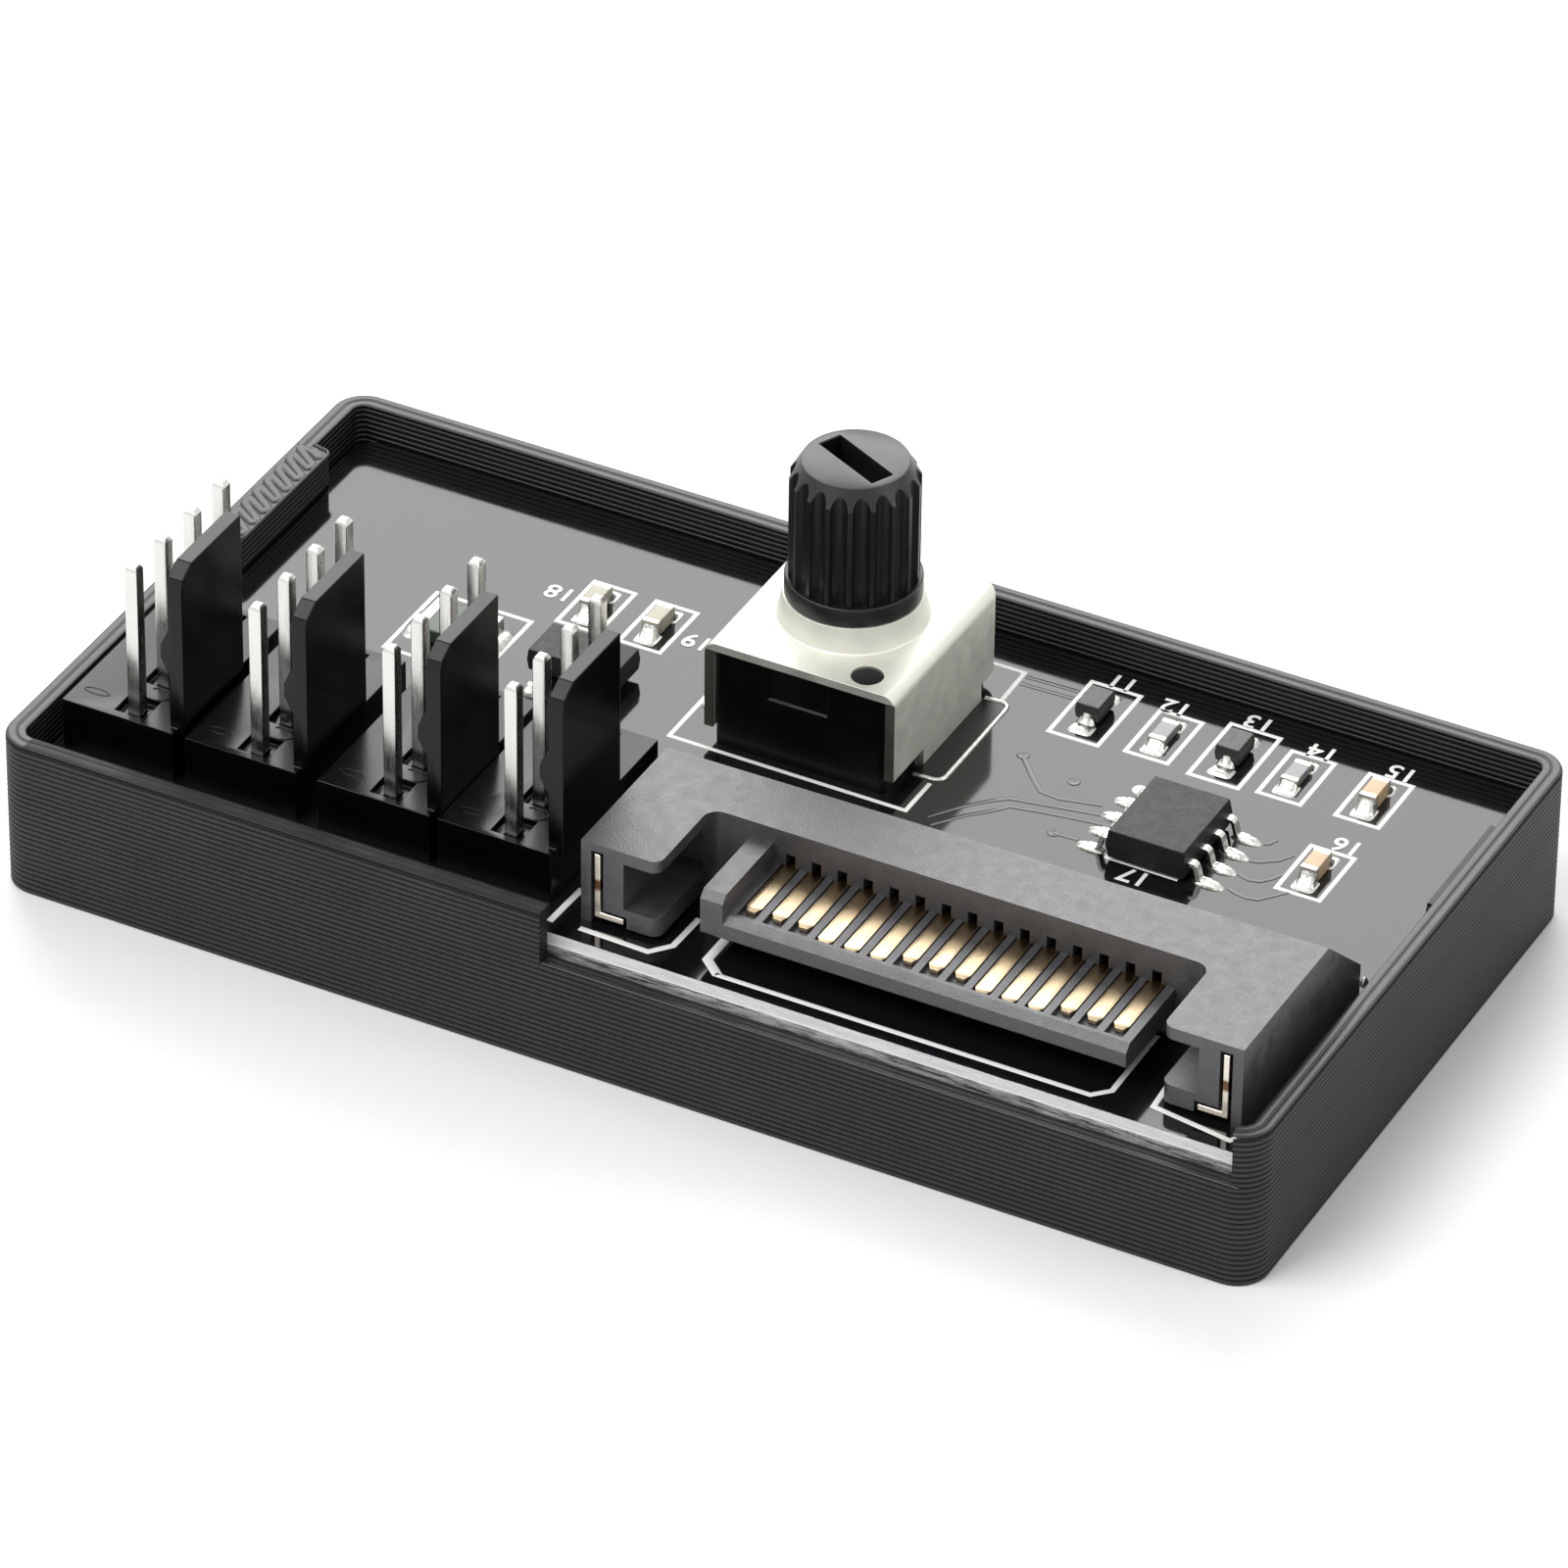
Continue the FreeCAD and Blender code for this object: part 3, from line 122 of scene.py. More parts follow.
def turned(shape, degrees):
    """A shape turned about the Z axis: x cos a - y sin a, x sin a + y cos a."""
    angle = math.radians(degrees)
    turn = np.array(((math.cos(angle), math.sin(angle), 0), (-math.sin(angle), math.cos(angle), 0),
                     (0, 0, 1)))
    return shape[0] @ turn, shape[1]


def lathe(profile, segments=96):
    """A turned ring: radius r(s) and height z(s) of the profile, carried round the Z axis."""
    profile = np.asarray(profile, float)
    angle = np.linspace(0, 2 * np.pi, segments, endpoint=False)
    radius = profile[:, 0:1]
    points = np.stack((radius * np.cos(angle), radius * np.sin(angle),
                       np.repeat(profile[:, 1:2], segments, 1)), -1)
    return grid_shape(points, wrap=True)


def carry(profile, path, closed=False):
    """A bead: each profile point (side, height) is set off from the level path by side along
    the mitred normal, N / cos(half the corner's angle), and by height along Z."""
    path = np.asarray(path, float)
    profile = np.asarray(profile, float)
    flat = path[:, :2]
    before = np.roll(flat, 1, 0) if closed else np.vstack((flat[:1] * 2 - flat[1:2], flat[:-1]))
    after = np.roll(flat, -1, 0) if closed else np.vstack((flat[1:], flat[-1:] * 2 - flat[-2:-1]))
    back = flat - before
    ahead = after - flat
    back /= np.linalg.norm(back, axis=1)[:, None]
    ahead /= np.linalg.norm(ahead, axis=1)[:, None]
    middle = back + ahead
    middle /= np.linalg.norm(middle, axis=1)[:, None]
    stretch = 1 / np.maximum((middle * ahead).sum(1), 0.35)
    normal = np.stack((-middle[:, 1], middle[:, 0]), 1) * stretch[:, None]
    side = normal[:, None, :] * profile[None, :, 0:1]
    points = np.concatenate((flat[:, None, :] + side,
                             (path[:, 2:3] + profile[None, :, 1])[..., None]), -1)
    if closed:
        points = np.concatenate((points, points[:1]))
    return grid_shape(points, wrap=True, ends=not closed)


def hump(width, height, steps=6):
    """The section of a bead: half an ellipse on a flat foot."""
    angle = np.linspace(0, np.pi, steps + 1)
    return np.stack((np.cos(angle) * width / 2, np.sin(angle) * height), 1)[::-1]


def strip(width, height):
    """The section of a printed line: a thin bar with its top edges taken off."""
    half, edge = width / 2, min(height, width / 6)
    return np.array(((-half, 0), (-half + edge, height), (half - edge, height), (half, 0)))


def rounded(size, power=0.22, rows=14, columns=28):
    """A block with soft edges, the superellipsoid of size (x, y, z):
    sgn(c) |c|^power for each cosine and sine of the sphere."""
    up = np.linspace(-np.pi / 2, np.pi / 2, rows)[:, None]
    round_ = np.linspace(0, 2 * np.pi, columns, endpoint=False)[None, :]

    def soft(value, amount):
        return np.sign(value) * np.abs(value) ** amount

    ring = soft(np.cos(up), power)
    points = np.stack((ring * soft(np.cos(round_), power), ring * soft(np.sin(round_), power),
                       soft(np.sin(up), power) * np.ones_like(round_)), -1)
    return grid_shape(points * np.array(size) / 2, wrap=True)


def blob(length, width, height, rows=9, columns=20, power=0.75):
    """A drop of solder: half a flattened ball with a squarish foot, whose height falls as
    (1 - r^2)^0.8 from its middle."""
    reach = np.linspace(1, 0.02, rows)[:, None]
    angle = np.linspace(0, 2 * np.pi, columns, endpoint=False)[None, :]
    square = np.abs(np.cos(angle)) ** power * np.sign(np.cos(angle))
    across = np.abs(np.sin(angle)) ** power * np.sign(np.sin(angle))
    points = np.stack((reach * square * length / 2, reach * across * width / 2,
                       (1 - reach ** 2) ** 0.8 * height * np.ones_like(angle)), -1)
    return grid_shape(points, wrap=True, ends=True)


def fillet(width, reach, height, columns=11, rows=9):
    """A solder fillet against an upright end at y = 0, falling to the pad at y = reach:
    height (1 - t)^2, a little higher in the middle, with rounded shoulders."""
    along = np.linspace(0, 1, rows)[:, None]
    across = np.linspace(-1, 1, columns)[None, :]
    rise = (1 - along) ** 1.7 * (1 - 0.35 * across ** 4) + 0.10 * np.sqrt(np.clip(1 - along, 0, 1))
    rise = rise * (1 - np.abs(across) ** 9)
    squeeze = 1 - 0.12 * along ** 3
    points = np.stack((across * width / 2 * squeeze, along * reach * (1 - 0.12 * across ** 4),
                       np.clip(rise, 0, None) * height), -1)
    return grid_shape(points)


def plate(outline, low, high, axis):
    """A flat sheet part: its outline in the plane across an axis, carried from low to high."""
    outline = np.asarray(outline, float)
    count = len(outline)
    layers = []
    for level in (low, high):
        third = np.full((count, 1), float(level))
        columns = {"x": (third, outline[:, 0:1], outline[:, 1:2]),
                   "y": (outline[:, 0:1], third, outline[:, 1:2]),
                   "z": (outline[:, 0:1], outline[:, 1:2], third)}[axis]
        layers.append(np.concatenate(columns, 1))
    return grid_shape(np.stack(layers), wrap=True, ends=True)


def thick_line(path, thickness, bend=0.15, steps=4):
    """The outline of a bent strip seen from its side: the path with its corners rounded, set
    off by half the thickness to each side."""
    path = np.asarray(path, float)
    points = [path[0]]
    for before, corner, after in zip(path[:-2], path[1:-1], path[2:]):
        inward = (before - corner) / np.linalg.norm(before - corner)
        outward = (after - corner) / np.linalg.norm(after - corner)
        t = np.linspace(0, 1, steps + 1)[:, None]
        start, end = corner + inward * bend, corner + outward * bend
        points += list((1 - t) ** 2 * start + 2 * t * (1 - t) * corner + t ** 2 * end)
    points.append(path[-1])
    points = np.array(points)
    ahead = np.gradient(points, axis=0)
    ahead /= np.linalg.norm(ahead, axis=1)[:, None]
    normal = np.stack((-ahead[:, 1], ahead[:, 0]), 1) * thickness / 2
    return np.concatenate((points + normal, (points - normal)[::-1]))


def rounded_loop(half_x, half_y, radius, steps=8):
    """A closed rounded rectangle, anticlockwise from its right end's lower corner."""
    path = []
    quarter = np.linspace(0, np.pi / 2, steps + 1)
    for turn, (x, y) in enumerate(((1, -1), (1, 1), (-1, 1), (-1, -1))):
        angle = quarter + (turn - 1) * np.pi / 2
        path.append(np.stack((x * (half_x - radius) + radius * np.cos(angle),
                              y * (half_y - radius) + radius * np.sin(angle)), 1))
    return np.concatenate(path)


# Objects


def piece(name, shapes, materials, body=HUB, bevel=0.0, sharp=35.0, picks=None):
    """Turn shapes into one object at the origin that rides on a body. picks gives each shape's
    material number."""
    shapes = [shapes] if isinstance(shapes, tuple) else list(shapes)
    points, faces = join(shapes)
    mesh = bpy.data.meshes.new(name)
    mesh.from_pydata((points * MM).tolist(), [], faces)
    materials = materials if isinstance(materials, (list, tuple)) else [materials]
    for material in materials:
        mesh.materials.append(material)
    if picks:
        numbers = np.repeat(picks, [len(shape[1]) for shape in shapes])
        mesh.polygons.foreach_set("material_index", numbers.astype(np.int32))
    return finish_mesh(name, mesh, body, bevel, sharp)


def finish_mesh(name, mesh, body, bevel, sharp):
    """Close the mesh's doubles, turn its faces out, smooth it and link it to its body."""
    work = bmesh.new()
    work.from_mesh(mesh)
    bmesh.ops.remove_doubles(work, verts=work.verts, dist=1e-7)
    bmesh.ops.recalc_face_normals(work, faces=work.faces)
    work.to_mesh(mesh)
    work.free()
    mesh.validate()
    mesh.polygons.foreach_set("use_smooth", np.ones(len(mesh.polygons), bool))
    mesh.set_sharp_from_angle(angle=math.radians(sharp))
    item = bpy.data.objects.new(name, mesh)
    bpy.context.scene.collection.objects.link(item)
    if bevel:
        add_bevel(item, bevel)
    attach(item, body)
    return item


def add_bevel(item, width, segments=2):
    """Round the edges that turn by more than 30 degrees."""
    edge = item.modifiers.new("edge", "BEVEL")
    edge.width = width * MM
    edge.segments = segments
    edge.limit_method = "ANGLE"
    edge.angle_limit = math.radians(30)
    edge.use_clamp_overlap = True
    edge.harden_normals = True


def dressed(node, name, material, bevel=0.06, body=HUB, segments=2, sharp=32.0):
    """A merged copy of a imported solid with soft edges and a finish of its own, in its place."""
    work = bmesh.new()
    work.from_mesh(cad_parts[node].data)
    bmesh.ops.remove_doubles(work, verts=work.verts, dist=2e-7)
    bmesh.ops.dissolve_limit(work, angle_limit=math.radians(0.4), verts=work.verts,
                             edges=work.edges, delimit={"NORMAL"})
    mesh = bpy.data.meshes.new(name)
    work.to_mesh(mesh)
    work.free()
    mesh.materials.append(material)
    mesh.polygons.foreach_set("use_smooth", np.ones(len(mesh.polygons), bool))
    mesh.set_sharp_from_angle(angle=math.radians(sharp))
    item = bpy.data.objects.new(name, mesh)
    bpy.context.scene.collection.objects.link(item)
    if bevel:
        add_bevel(item, bevel, segments)
    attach(item, body)
    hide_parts(node)
    return item


# Materials


def add_node(tree, kind, inputs=None, **settings):
    """Add a node, set its properties, and give its inputs plain values or links."""
    item = tree.nodes.new(kind)
    for name, value in settings.items():
        setattr(item, name, value)
    for key, value in (inputs or {}).items():
        if isinstance(value, bpy.types.NodeSocket):
            tree.links.new(value, item.inputs[key])
        else:
            item.inputs[key].default_value = value
    return item


def math_node(tree, operation, first, second=0.5, clamp=False):
    """One sum on values, as an output socket."""
    item = add_node(tree, "ShaderNodeMath", {0: first, 1: second}, operation=operation,
                    use_clamp=clamp)
    return item.outputs[0]


def new_group(name, inputs, outputs):
    """An empty shader group with named sockets, and its two end nodes."""
    tree = bpy.data.node_groups.new(name, "ShaderNodeTree")
    for label, kind, default in inputs:
        socket = tree.interface.new_socket(name=label, in_out="INPUT", socket_type=kind)
        if default is not None:
            socket.default_value = default
    for label, kind in outputs:
        tree.interface.new_socket(name=label, in_out="OUTPUT", socket_type=kind)
    return tree, tree.nodes.new("NodeGroupInput").outputs, tree.nodes.new("NodeGroupOutput").inputs


def mottle_group():
    """Mould and handling marks: broad cloudy shade, fine grain in gloss and relief."""
    tree, given, made = new_group(
        "moulded_mottle",
        (("Colour", "NodeSocketColor", (0.5, 0.5, 0.5, 1)), ("Cloud", "NodeSocketFloat", 0.2),
         ("Cloud Size", "NodeSocketFloat", 1.0), ("Grain Size", "NodeSocketFloat", 0.1),
         ("Roughness", "NodeSocketFloat", 0.4), ("Gloss Change", "NodeSocketFloat", 0.1),
         ("Relief", "NodeSocketFloat", 0.00001)),
        (("Colour", "NodeSocketColor"), ("Roughness", "NodeSocketFloat"), ("Normal", "NodeSocketVector")))
    place = add_node(tree, "ShaderNodeTexCoord").outputs["Object"]
    broad = math_node(tree, "DIVIDE", 1000.0, given["Cloud Size"])
    fine = math_node(tree, "DIVIDE", 1000.0, given["Grain Size"])
    cloud = add_node(tree, "ShaderNodeTexNoise", {"Vector": place, "Scale": broad, "Detail": 3.0,
                                                  "Roughness": 0.6}).outputs[0]
    grain = add_node(tree, "ShaderNodeTexNoise", {"Vector": place, "Scale": fine, "Detail": 2.0,
                                                  "Roughness": 0.7}).outputs[0]
    shade = math_node(tree, "MULTIPLY", math_node(tree, "SUBTRACT", cloud), given["Cloud"])
    fleck = math_node(tree, "MULTIPLY", math_node(tree, "SUBTRACT", grain), given["Cloud"])
    value = math_node(tree, "ADD", math_node(tree, "ADD", shade, 1.0), fleck)
    tint = add_node(tree, "ShaderNodeHueSaturation", {"Color": given["Colour"], "Value": value})
    change = math_node(tree, "MULTIPLY", math_node(tree, "SUBTRACT", cloud), given["Gloss Change"])
    rough = math_node(tree, "ADD", given["Roughness"], change, clamp=True)
    bump = add_node(tree, "ShaderNodeBump", {"Height": grain, "Distance": given["Relief"]})
    tree.links.new(tint.outputs[0], made["Colour"])
    tree.links.new(rough, made["Roughness"])
    tree.links.new(bump.outputs[0], made["Normal"])
    return tree


def layer_group():
    """Printed layers: rounded beads stacked along Z, |sin(pi z / pitch)|, that waver a little."""
    tree, given, made = new_group(
        "printed_layers",
        (("Pitch", "NodeSocketFloat", 0.277), ("Waver", "NodeSocketFloat", 0.03)),
        (("Height", "NodeSocketFloat"), ("Groove", "NodeSocketFloat")))
    place = add_node(tree, "ShaderNodeTexCoord").outputs["Object"]
    level = add_node(tree, "ShaderNodeSeparateXYZ", {0: place}).outputs[2]
    waver = add_node(tree, "ShaderNodeTexNoise", {"Vector": place, "Scale": 260.0,
                                                  "Detail": 2.0}).outputs[0]
    lift = math_node(tree, "MULTIPLY", math_node(tree, "SUBTRACT", waver), given["Waver"])
    millimetres = math_node(tree, "ADD", math_node(tree, "MULTIPLY", level, 1000.0), lift)
    phase = math_node(tree, "MULTIPLY", math_node(tree, "DIVIDE", millimetres, given["Pitch"]), math.pi)
    wave = math_node(tree, "ABSOLUTE", math_node(tree, "SINE", phase))
    height = math_node(tree, "POWER", wave, 0.6)
    groove = math_node(tree, "SUBTRACT", 1.0, math_node(tree, "POWER", wave, 0.35))
    tree.links.new(height, made["Height"])
    tree.links.new(groove, made["Groove"])
    return tree


def brush_group():
    """Drawn metal: fine lines along Z in gloss and relief, with a faint cloudy tarnish."""
    tree, given, made = new_group(
        "drawn_metal",
        (("Colour", "NodeSocketColor", (0.8, 0.8, 0.8, 1)), ("Tarnish", "NodeSocketFloat", 0.1),
         ("Roughness", "NodeSocketFloat", 0.2), ("Relief", "NodeSocketFloat", 0.000004),
         ("Stretch", "NodeSocketVector", (9000.0, 9000.0, 700.0))),
        (("Colour", "NodeSocketColor"), ("Roughness", "NodeSocketFloat"), ("Normal", "NodeSocketVector")))
    place = add_node(tree, "ShaderNodeTexCoord").outputs["Object"]
    long = add_node(tree, "ShaderNodeVectorMath", {0: place, 1: given["Stretch"]}, operation="MULTIPLY")
    lines = add_node(tree, "ShaderNodeTexNoise", {"Vector": long.outputs[0], "Scale": 1.0,
                                                  "Detail": 3.0, "Roughness": 0.6}).outputs[0]
    cloud = add_node(tree, "ShaderNodeTexNoise", {"Vector": place, "Scale": 900.0,
                                                  "Detail": 3.0}).outputs[0]
    dim = math_node(tree, "MULTIPLY", math_node(tree, "SUBTRACT", cloud), given["Tarnish"])
    tint = add_node(tree, "ShaderNodeHueSaturation", {"Color": given["Colour"],
                                                      "Value": math_node(tree, "ADD", dim, 1.0)})
    scratch = math_node(tree, "MULTIPLY", math_node(tree, "SUBTRACT", lines), 0.25)
    rough = math_node(tree, "ADD", math_node(tree, "ADD", given["Roughness"], scratch), dim, clamp=True)
    bump = add_node(tree, "ShaderNodeBump", {"Height": lines, "Distance": given["Relief"]})
    tree.links.new(tint.outputs[0], made["Colour"])
    tree.links.new(rough, made["Roughness"])
    tree.links.new(bump.outputs[0], made["Normal"])
    return tree


def start_material(name):
    """A material with only its shader and output, and the tree that holds them."""
    material = bpy.data.materials.new(name)
    material.use_nodes = True
    tree = material.node_tree
    tree.nodes.clear()
    shader = tree.nodes.new("ShaderNodeBsdfPrincipled")
    output = tree.nodes.new("ShaderNodeOutputMaterial")
    tree.links.new(shader.outputs[0], output.inputs["Surface"])
    return material, tree, shader


def use_group(tree, name, **values):
    """Place a shared group, with underscores in the value names standing for spaces."""
    item = tree.nodes.new("ShaderNodeGroup")
    item.node_tree = bpy.data.node_groups[name]
    for key, value in values.items():
        socket = item.inputs[key.replace("_", " ")]
        if isinstance(value, bpy.types.NodeSocket):
            tree.links.new(value, socket)
        else:
            socket.default_value = value
    return item.outputs


def opaque(colour):
    """A colour with its alpha."""
    return (colour[0], colour[1], colour[2], 1.0)


def mottled(name, colour, roughness, cloud=0.3, cloud_size=1.2, grain_size=0.12, gloss_change=0.12,
            relief=0.000006, **sockets):
    """A moulded, printed or glazed finish."""
    material, tree, shader = start_material(name)
    made = use_group(tree, "moulded_mottle", Colour=opaque(colour), Cloud=cloud, Cloud_Size=cloud_size,
                     Grain_Size=grain_size, Roughness=roughness, Gloss_Change=gloss_change, Relief=relief)
    tree.links.new(made["Colour"], shader.inputs["Base Color"])
    tree.links.new(made["Roughness"], shader.inputs["Roughness"])
    tree.links.new(made["Normal"], shader.inputs["Normal"])
    for key, value in sockets.items():
        shader.inputs[key.replace("_", " ")].default_value = value
    return material


def drawn(name, colour, roughness, tarnish=0.12, relief=0.000003, stretch=(9000, 9000, 700)):
    """A plated metal finish."""
    material, tree, shader = start_material(name)
    made = use_group(tree, "drawn_metal", Colour=opaque(colour), Tarnish=tarnish, Roughness=roughness,
                     Relief=relief, Stretch=stretch)
    tree.links.new(made["Colour"], shader.inputs["Base Color"])
    tree.links.new(made["Roughness"], shader.inputs["Roughness"])
    tree.links.new(made["Normal"], shader.inputs["Normal"])
    shader.inputs["Metallic"].default_value = 1.0
    return material


def gold_finish(colours):
    """Gold with painted shade: it turns from a pale tip to brown toward the mouth's back wall, along Y."""
    material, tree, shader = start_material("gold_contact")
    place = add_node(tree, "ShaderNodeTexCoord").outputs["Object"]
    depth = add_node(tree, "ShaderNodeSeparateXYZ", {0: place}).outputs[1]
    # Painted shade: share rises deeper in the mouth and mixes the gold toward brown.
    share = add_node(tree, "ShaderNodeMapRange", {0: depth, 1: -0.0121, 2: -0.0088}, clamp=True).outputs[0]
    share = math_node(tree, "MULTIPLY", share, math_node(tree, "LESS_THAN", depth, -0.0065))
    tint = add_node(tree, "ShaderNodeMix", {0: share, 6: opaque(colours.gold), 7: (0.13, 0.085, 0.045, 1)},
                    data_type="RGBA").outputs[2]
    made = use_group(tree, "drawn_metal", Colour=tint, Tarnish=0.35, Roughness=0.34, Relief=0.000003,
                     Stretch=(6000, 500, 6000))
    tree.links.new(made["Colour"], shader.inputs["Base Color"])
    tree.links.new(made["Roughness"], shader.inputs["Roughness"])
    tree.links.new(made["Normal"], shader.inputs["Normal"])
    shader.inputs["Metallic"].default_value = 1.0
    return material


def cover_finish(colours):
    """Satin plate with painted shade on the front edges of its side walls, below the top."""
    material, tree, shader = start_material("plated_cover")
    place = add_node(tree, "ShaderNodeTexCoord").outputs["Object"]
    axes = add_node(tree, "ShaderNodeSeparateXYZ", {0: place}).outputs
    # Painted shade: the sheet's front strip below the top is mixed toward a dark brown grey.
    ahead = add_node(tree, "ShaderNodeMapRange", {0: axes[1], 1: 0.00109, 2: 0.00113}, clamp=True).outputs[0]
    below = math_node(tree, "LESS_THAN", axes[2], 0.01125)
    share = math_node(tree, "MULTIPLY", math_node(tree, "SUBTRACT", 1.0, ahead), below)
    tint = add_node(tree, "ShaderNodeMix", {0: share, 6: opaque(colours.cover), 7: (0.16, 0.15, 0.13, 1)},
                    data_type="RGBA").outputs[2]
    made = use_group(tree, "drawn_metal", Colour=tint, Tarnish=0.08, Roughness=0.6, Relief=0.000002,
                     Stretch=(1500, 1500, 1500))
    tree.links.new(made["Colour"], shader.inputs["Base Color"])
    tree.links.new(made["Roughness"], shader.inputs["Roughness"])
    tree.links.new(made["Normal"], shader.inputs["Normal"])
    shader.inputs["Metallic"].default_value = 1.0
    return material


def strip_finish():
    """Plated strips with a tarnished brown band part of the way down their upright leg."""
    material, tree, shader = start_material("tin_strip")
    place = add_node(tree, "ShaderNodeTexCoord").outputs["Object"]
    level = add_node(tree, "ShaderNodeSeparateXYZ", {0: place}).outputs[2]
    above = add_node(tree, "ShaderNodeMapRange", {0: level, 1: 0.00795, 2: 0.00815}, clamp=True).outputs[0]
    below = add_node(tree, "ShaderNodeMapRange", {0: level, 1: 0.00870, 2: 0.00855}, clamp=True).outputs[0]
    tint = add_node(tree, "ShaderNodeMix", {0: math_node(tree, "MULTIPLY", above, below),
                                            6: (0.80, 0.74, 0.64, 1), 7: (0.16, 0.08, 0.04, 1)},
                    data_type="RGBA").outputs[2]
    made = use_group(tree, "drawn_metal", Colour=tint, Tarnish=0.2, Roughness=0.28, Relief=0.000003)
    tree.links.new(made["Colour"], shader.inputs["Base Color"])
    tree.links.new(made["Roughness"], shader.inputs["Roughness"])
    tree.links.new(made["Normal"], shader.inputs["Normal"])
    shader.inputs["Metallic"].default_value = 1.0
    return material


def tray_finish(colours):
    """Black printed plastic: stacked layers on upright faces, painted shade darkening the valleys, cloudy
    sheen.
    """
    material, tree, shader = start_material("printed_black")
    layers = use_group(tree, "printed_layers", Pitch=colours.layer_height / MM, Waver=0.035)
    made = use_group(tree, "moulded_mottle", Colour=opaque(colours.tray), Cloud=0.6, Cloud_Size=3.0,
                     Grain_Size=0.07, Roughness=0.42, Gloss_Change=0.18, Relief=0.000004)
    # Painted shade: the grooves between layers are mixed toward near black, the shade that the bump alone
    # can't cast.
    tint = add_node(tree, "ShaderNodeMix", {0: math_node(tree, "MULTIPLY", layers["Groove"], 0.8),
                                            6: made["Colour"], 7: (0.002, 0.002, 0.002, 1)},
                    data_type="RGBA")
    bump = add_node(tree, "ShaderNodeBump", {"Height": layers["Height"], "Distance": 0.0001,
                                             "Normal": made["Normal"]})
    shader.inputs["Specular IOR Level"].default_value = 0.32
    tree.links.new(tint.outputs[2], shader.inputs["Base Color"])
    tree.links.new(made["Roughness"], shader.inputs["Roughness"])
    tree.links.new(bump.outputs[0], shader.inputs["Normal"])
    return material


def skin_finish(colours):
    """The same plastic on the outer wall, where light reaches the crests and not the valleys."""
    material, tree, shader = start_material("printed_skin")
    layers = use_group(tree, "printed_layers", Pitch=colours.layer_height / MM, Waver=0.03)
    made = use_group(tree, "moulded_mottle", Colour=opaque(colours.crest), Cloud=0.5, Cloud_Size=3.0,
                     Grain_Size=0.07, Roughness=0.45, Gloss_Change=0.18, Relief=0.000004)
    valley = math_node(tree, "SUBTRACT", 1.0, math_node(tree, "POWER", layers["Height"], 2.2))
    tint = add_node(tree, "ShaderNodeMix", {0: valley, 6: made["Colour"], 7: (0.001, 0.001, 0.001, 1)},
                    data_type="RGBA")
    shader.inputs["Specular IOR Level"].default_value = 0.12
    tree.links.new(tint.outputs[2], shader.inputs["Base Color"])
    tree.links.new(made["Roughness"], shader.inputs["Roughness"])
    tree.links.new(made["Normal"], shader.inputs["Normal"])
    return material


